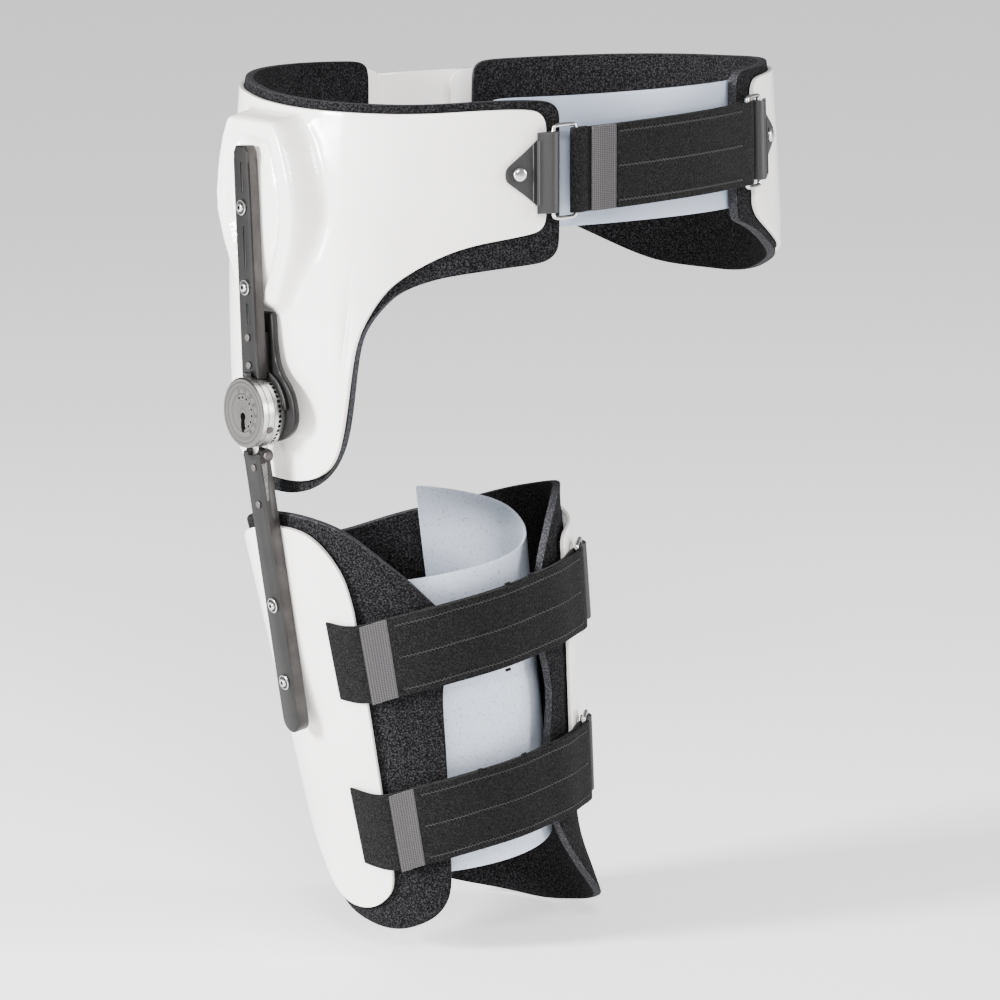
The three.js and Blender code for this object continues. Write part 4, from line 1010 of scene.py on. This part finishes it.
def numbers():
    """Stop angles stamped round the dial's face, filled with black."""
    made = []
    for i, text in enumerate(("0", "15", "30", "45", "60", "75", "90")):
        angle = math.radians(108 - 27 * i)
        away = Vector((0, -math.cos(angle), math.sin(angle)))
        bpy.ops.object.text_add()
        figure = bpy.context.object
        figure.data.body = text
        figure.data.size = 3.6 * MM
        figure.data.extrude = 0.05 * MM
        figure.data.offset = 0.05 * MM
        figure.data.align_x = "CENTER"
        figure.data.align_y = "CENTER"
        place = Vector((DIAL_FACE, HINGE.y, HINGE.z)) + away * 13.2 * MM
        facing = Matrix(((0, 0, -1), (-1, 0, 0), (0, 1, 0))).to_4x4()
        figure.matrix_world = Matrix.Translation(place) @ facing
        only(figure)
        bpy.ops.object.convert(target="MESH")
        made.append(bpy.context.object)
    only(made[0])
    for figure in made:
        figure.select_set(True)
    bpy.ops.object.join()
    piece = bpy.context.object
    piece.name = "dial_numbers"
    paint(piece, BLACK_FILL_AND_SHADE)
    settle(piece, "pelvis", "dial_aluminium")


# Thigh section


def thigh_section():
    for node in ("thigh_shell", "thigh_inner_plate"):
        smooth_sheet(node, "shell_plastic", [SHELL], 0.9 * MM)
    lining = smooth_sheet("thigh_foam", "lining_foam", [FOAM, FOAM_CUT], 1.1 * MM, rimmed=True)
    smooth_sheet("thigh_tongue", "tongue_plastic", [THIGH_SHEET], 0.4 * MM)
    for name, drop in (("upper_thigh", 121.4), ("lower_thigh", 231.4)):
        strap = smooth_sheet(name + "_strap", "strap_pile", [PILE], 0.5 * MM)
        tab = smooth_sheet(name + "_strap_tab", "tab_webbing", [WEBBING], 0.4 * MM)
        web_map(tab, thigh_web)
        smooth_sheet(name + "_chape", "chape_plastic", [CHAPE], 0.5 * MM)
        wire(name + "_ring", "bright_steel", STEEL, 0.25 * MM)
        tree = tree_of(strap)
        rows = []
        for across in STITCH_ROWS:
            row = []
            for i in range(105):
                turn = 42 - (42 + 38) * i / 104
                depth = drop + thigh_sag(turn) - across + (STITCH_SWING if i % 2 else -STITCH_SWING)
                point = on_cuff(tree, turn, depth * MM, 0.1 * MM)
                if point:
                    row.append(point)
            rows.append(row)
        thread_lines(name + "_strap_stitches", "thigh", "strap_pile", rows, STITCH_RADIUS, THREAD)
        edges = []
        for turns, side, proud in STRAP_EDGES[name]:
            line = []
            for turn in turns:
                depth = drop + thigh_sag(turn) - side * 24
                point = on_cuff(tree, turn, depth * MM)
                if point:
                    line.append(point + leg_way(0, 0, side * (0.6 + proud) * MM))
            edges.append(line)
        thread_lines(name + "_strap_edges", "thigh", "strap_pile", edges, 0.9 * MM, PILE)


# Where a thigh strap's lower layer shows past its upper one: the turns, the edge (1 is the top), and
# how far it stands out in millimetres. The short ones are the corners of its sewn ends.
STRAP_EDGES = {
    "upper_thigh": [
        (list(range(-2, -34, -4)), 1, 0.5),
        ([-1, -3], 1, 2),
        ([-11, -13], 1, 2),
        ([2, 0], -1, 2),
    ],
    "lower_thigh": [
        (list(range(17, -30, -4)), 1, 0.5),
        ([-2, -4], 1, 2),
        ([-13, -15], 1, 2),
        ([18, 16], 1, 1.4),
    ],
}


def thigh_web(point):
    """Millimetres along and across a thigh strap's webbing at a point."""
    local = Matrix.Rotation(LEG_LEAN, 3, "Y") @ (point - PIVOT)
    turn = math.atan2(CUFF_CENTRE[0] - local.x, CUFF_CENTRE[1] - local.y)
    return turn * 92, local.z * 1000


def thigh_sag(turn):
    """How far a thigh strap hangs below its height in front, in millimetres."""
    table = ((-60, -0.2), (-20, -0.15), (0, 0), (20, 0.1), (45, 0.55), (58, 0.9), (72, 0.4))
    for (a, low), (b, high) in zip(table, table[1:]):
        if a <= turn <= b:
            return 10 * (low + (high - low) * (turn - a) / (b - a))
    return 10 * (table[0][1] if turn < -60 else table[-1][1])


# Room, light and camera


def studio():
    bpy.ops.mesh.primitive_plane_add(size=30, location=(0, 8, FLOOR_DEPTH))
    floor = bpy.context.object
    floor.name = "floor"
    paint(
        floor,
        finish_of(
            "pale_floor", "#FAFAFA", 0.9, Emission_Color=(1, 1, 1, 1), Emission_Strength=0.7
        )[0],
    )
    world = bpy.data.worlds.new("studio")
    bpy.context.scene.world = world
    world.use_nodes = True
    sky = world.node_tree.nodes["Background"]
    sky.inputs["Color"].default_value = linear("#FFFFFF")
    seen = add(world.node_tree, "ShaderNodeLightPath").outputs["Is Camera Ray"]
    bright = add(
        world.node_tree, "ShaderNodeMapRange", {"Value": seen, "To Min": 0.3, "To Max": 2.2}
    )
    world.node_tree.links.new(bright.outputs["Result"], sky.inputs["Strength"])
    for name, place, size, power in (
        ("key", (-2.4, 0.35, 0.45), (0.55, 0.55), 215),
        ("front", (-1.5, -2.3, 1.4), (0.8, 0.8), 90),
        ("right", (1.7, -2.0, 0.5), (0.7, 1.2), 80),
    ):
        light = bpy.data.lights.new(name, "AREA")
        light.shape = "RECTANGLE"
        light.size, light.size_y = size
        light.energy = power
        lamp = bpy.data.objects.new(name, light)
        bpy.context.scene.collection.objects.link(lamp)
        lamp.location = place
        aim = Vector((0, 0, -0.15)) - Vector(place)
        lamp.rotation_euler = aim.to_track_quat("-Z", "Y").to_euler()


def camera():
    lens = bpy.data.cameras.new("camera")
    lens.lens = 204.84
    lens.sensor_width = 36
    lens.clip_end = 100
    eye = bpy.data.objects.new("camera", lens)
    bpy.context.scene.collection.objects.link(eye)
    eye.location = (-2.0891, -2.7592, 0.4135)
    side, rise = math.radians(-37), math.radians(10.3)
    back = Vector(
        (math.sin(side) * math.cos(rise), -math.cos(side) * math.cos(rise), math.sin(rise))
    )
    eye.rotation_euler = back.to_track_quat("Z", "Y").to_euler()
    bpy.context.scene.camera = eye


camera()
studio()
pelvic_shells()
pelvic_strap()
hinge()
thigh_section()
for place in ("near_chape", "far_chape", "near_back", "far_back", "upper_thigh", "lower_thigh"):
    rivet(place + "_rivet")
for place in ("upper_bar_pin_1", "upper_bar_pin_2", "lower_bar_pin"):
    pin(place)
for place in ("upper_bar_screw_1", "upper_bar_screw_2", "lower_bar_screw_1", "lower_bar_screw_2"):
    socket_screw(place)
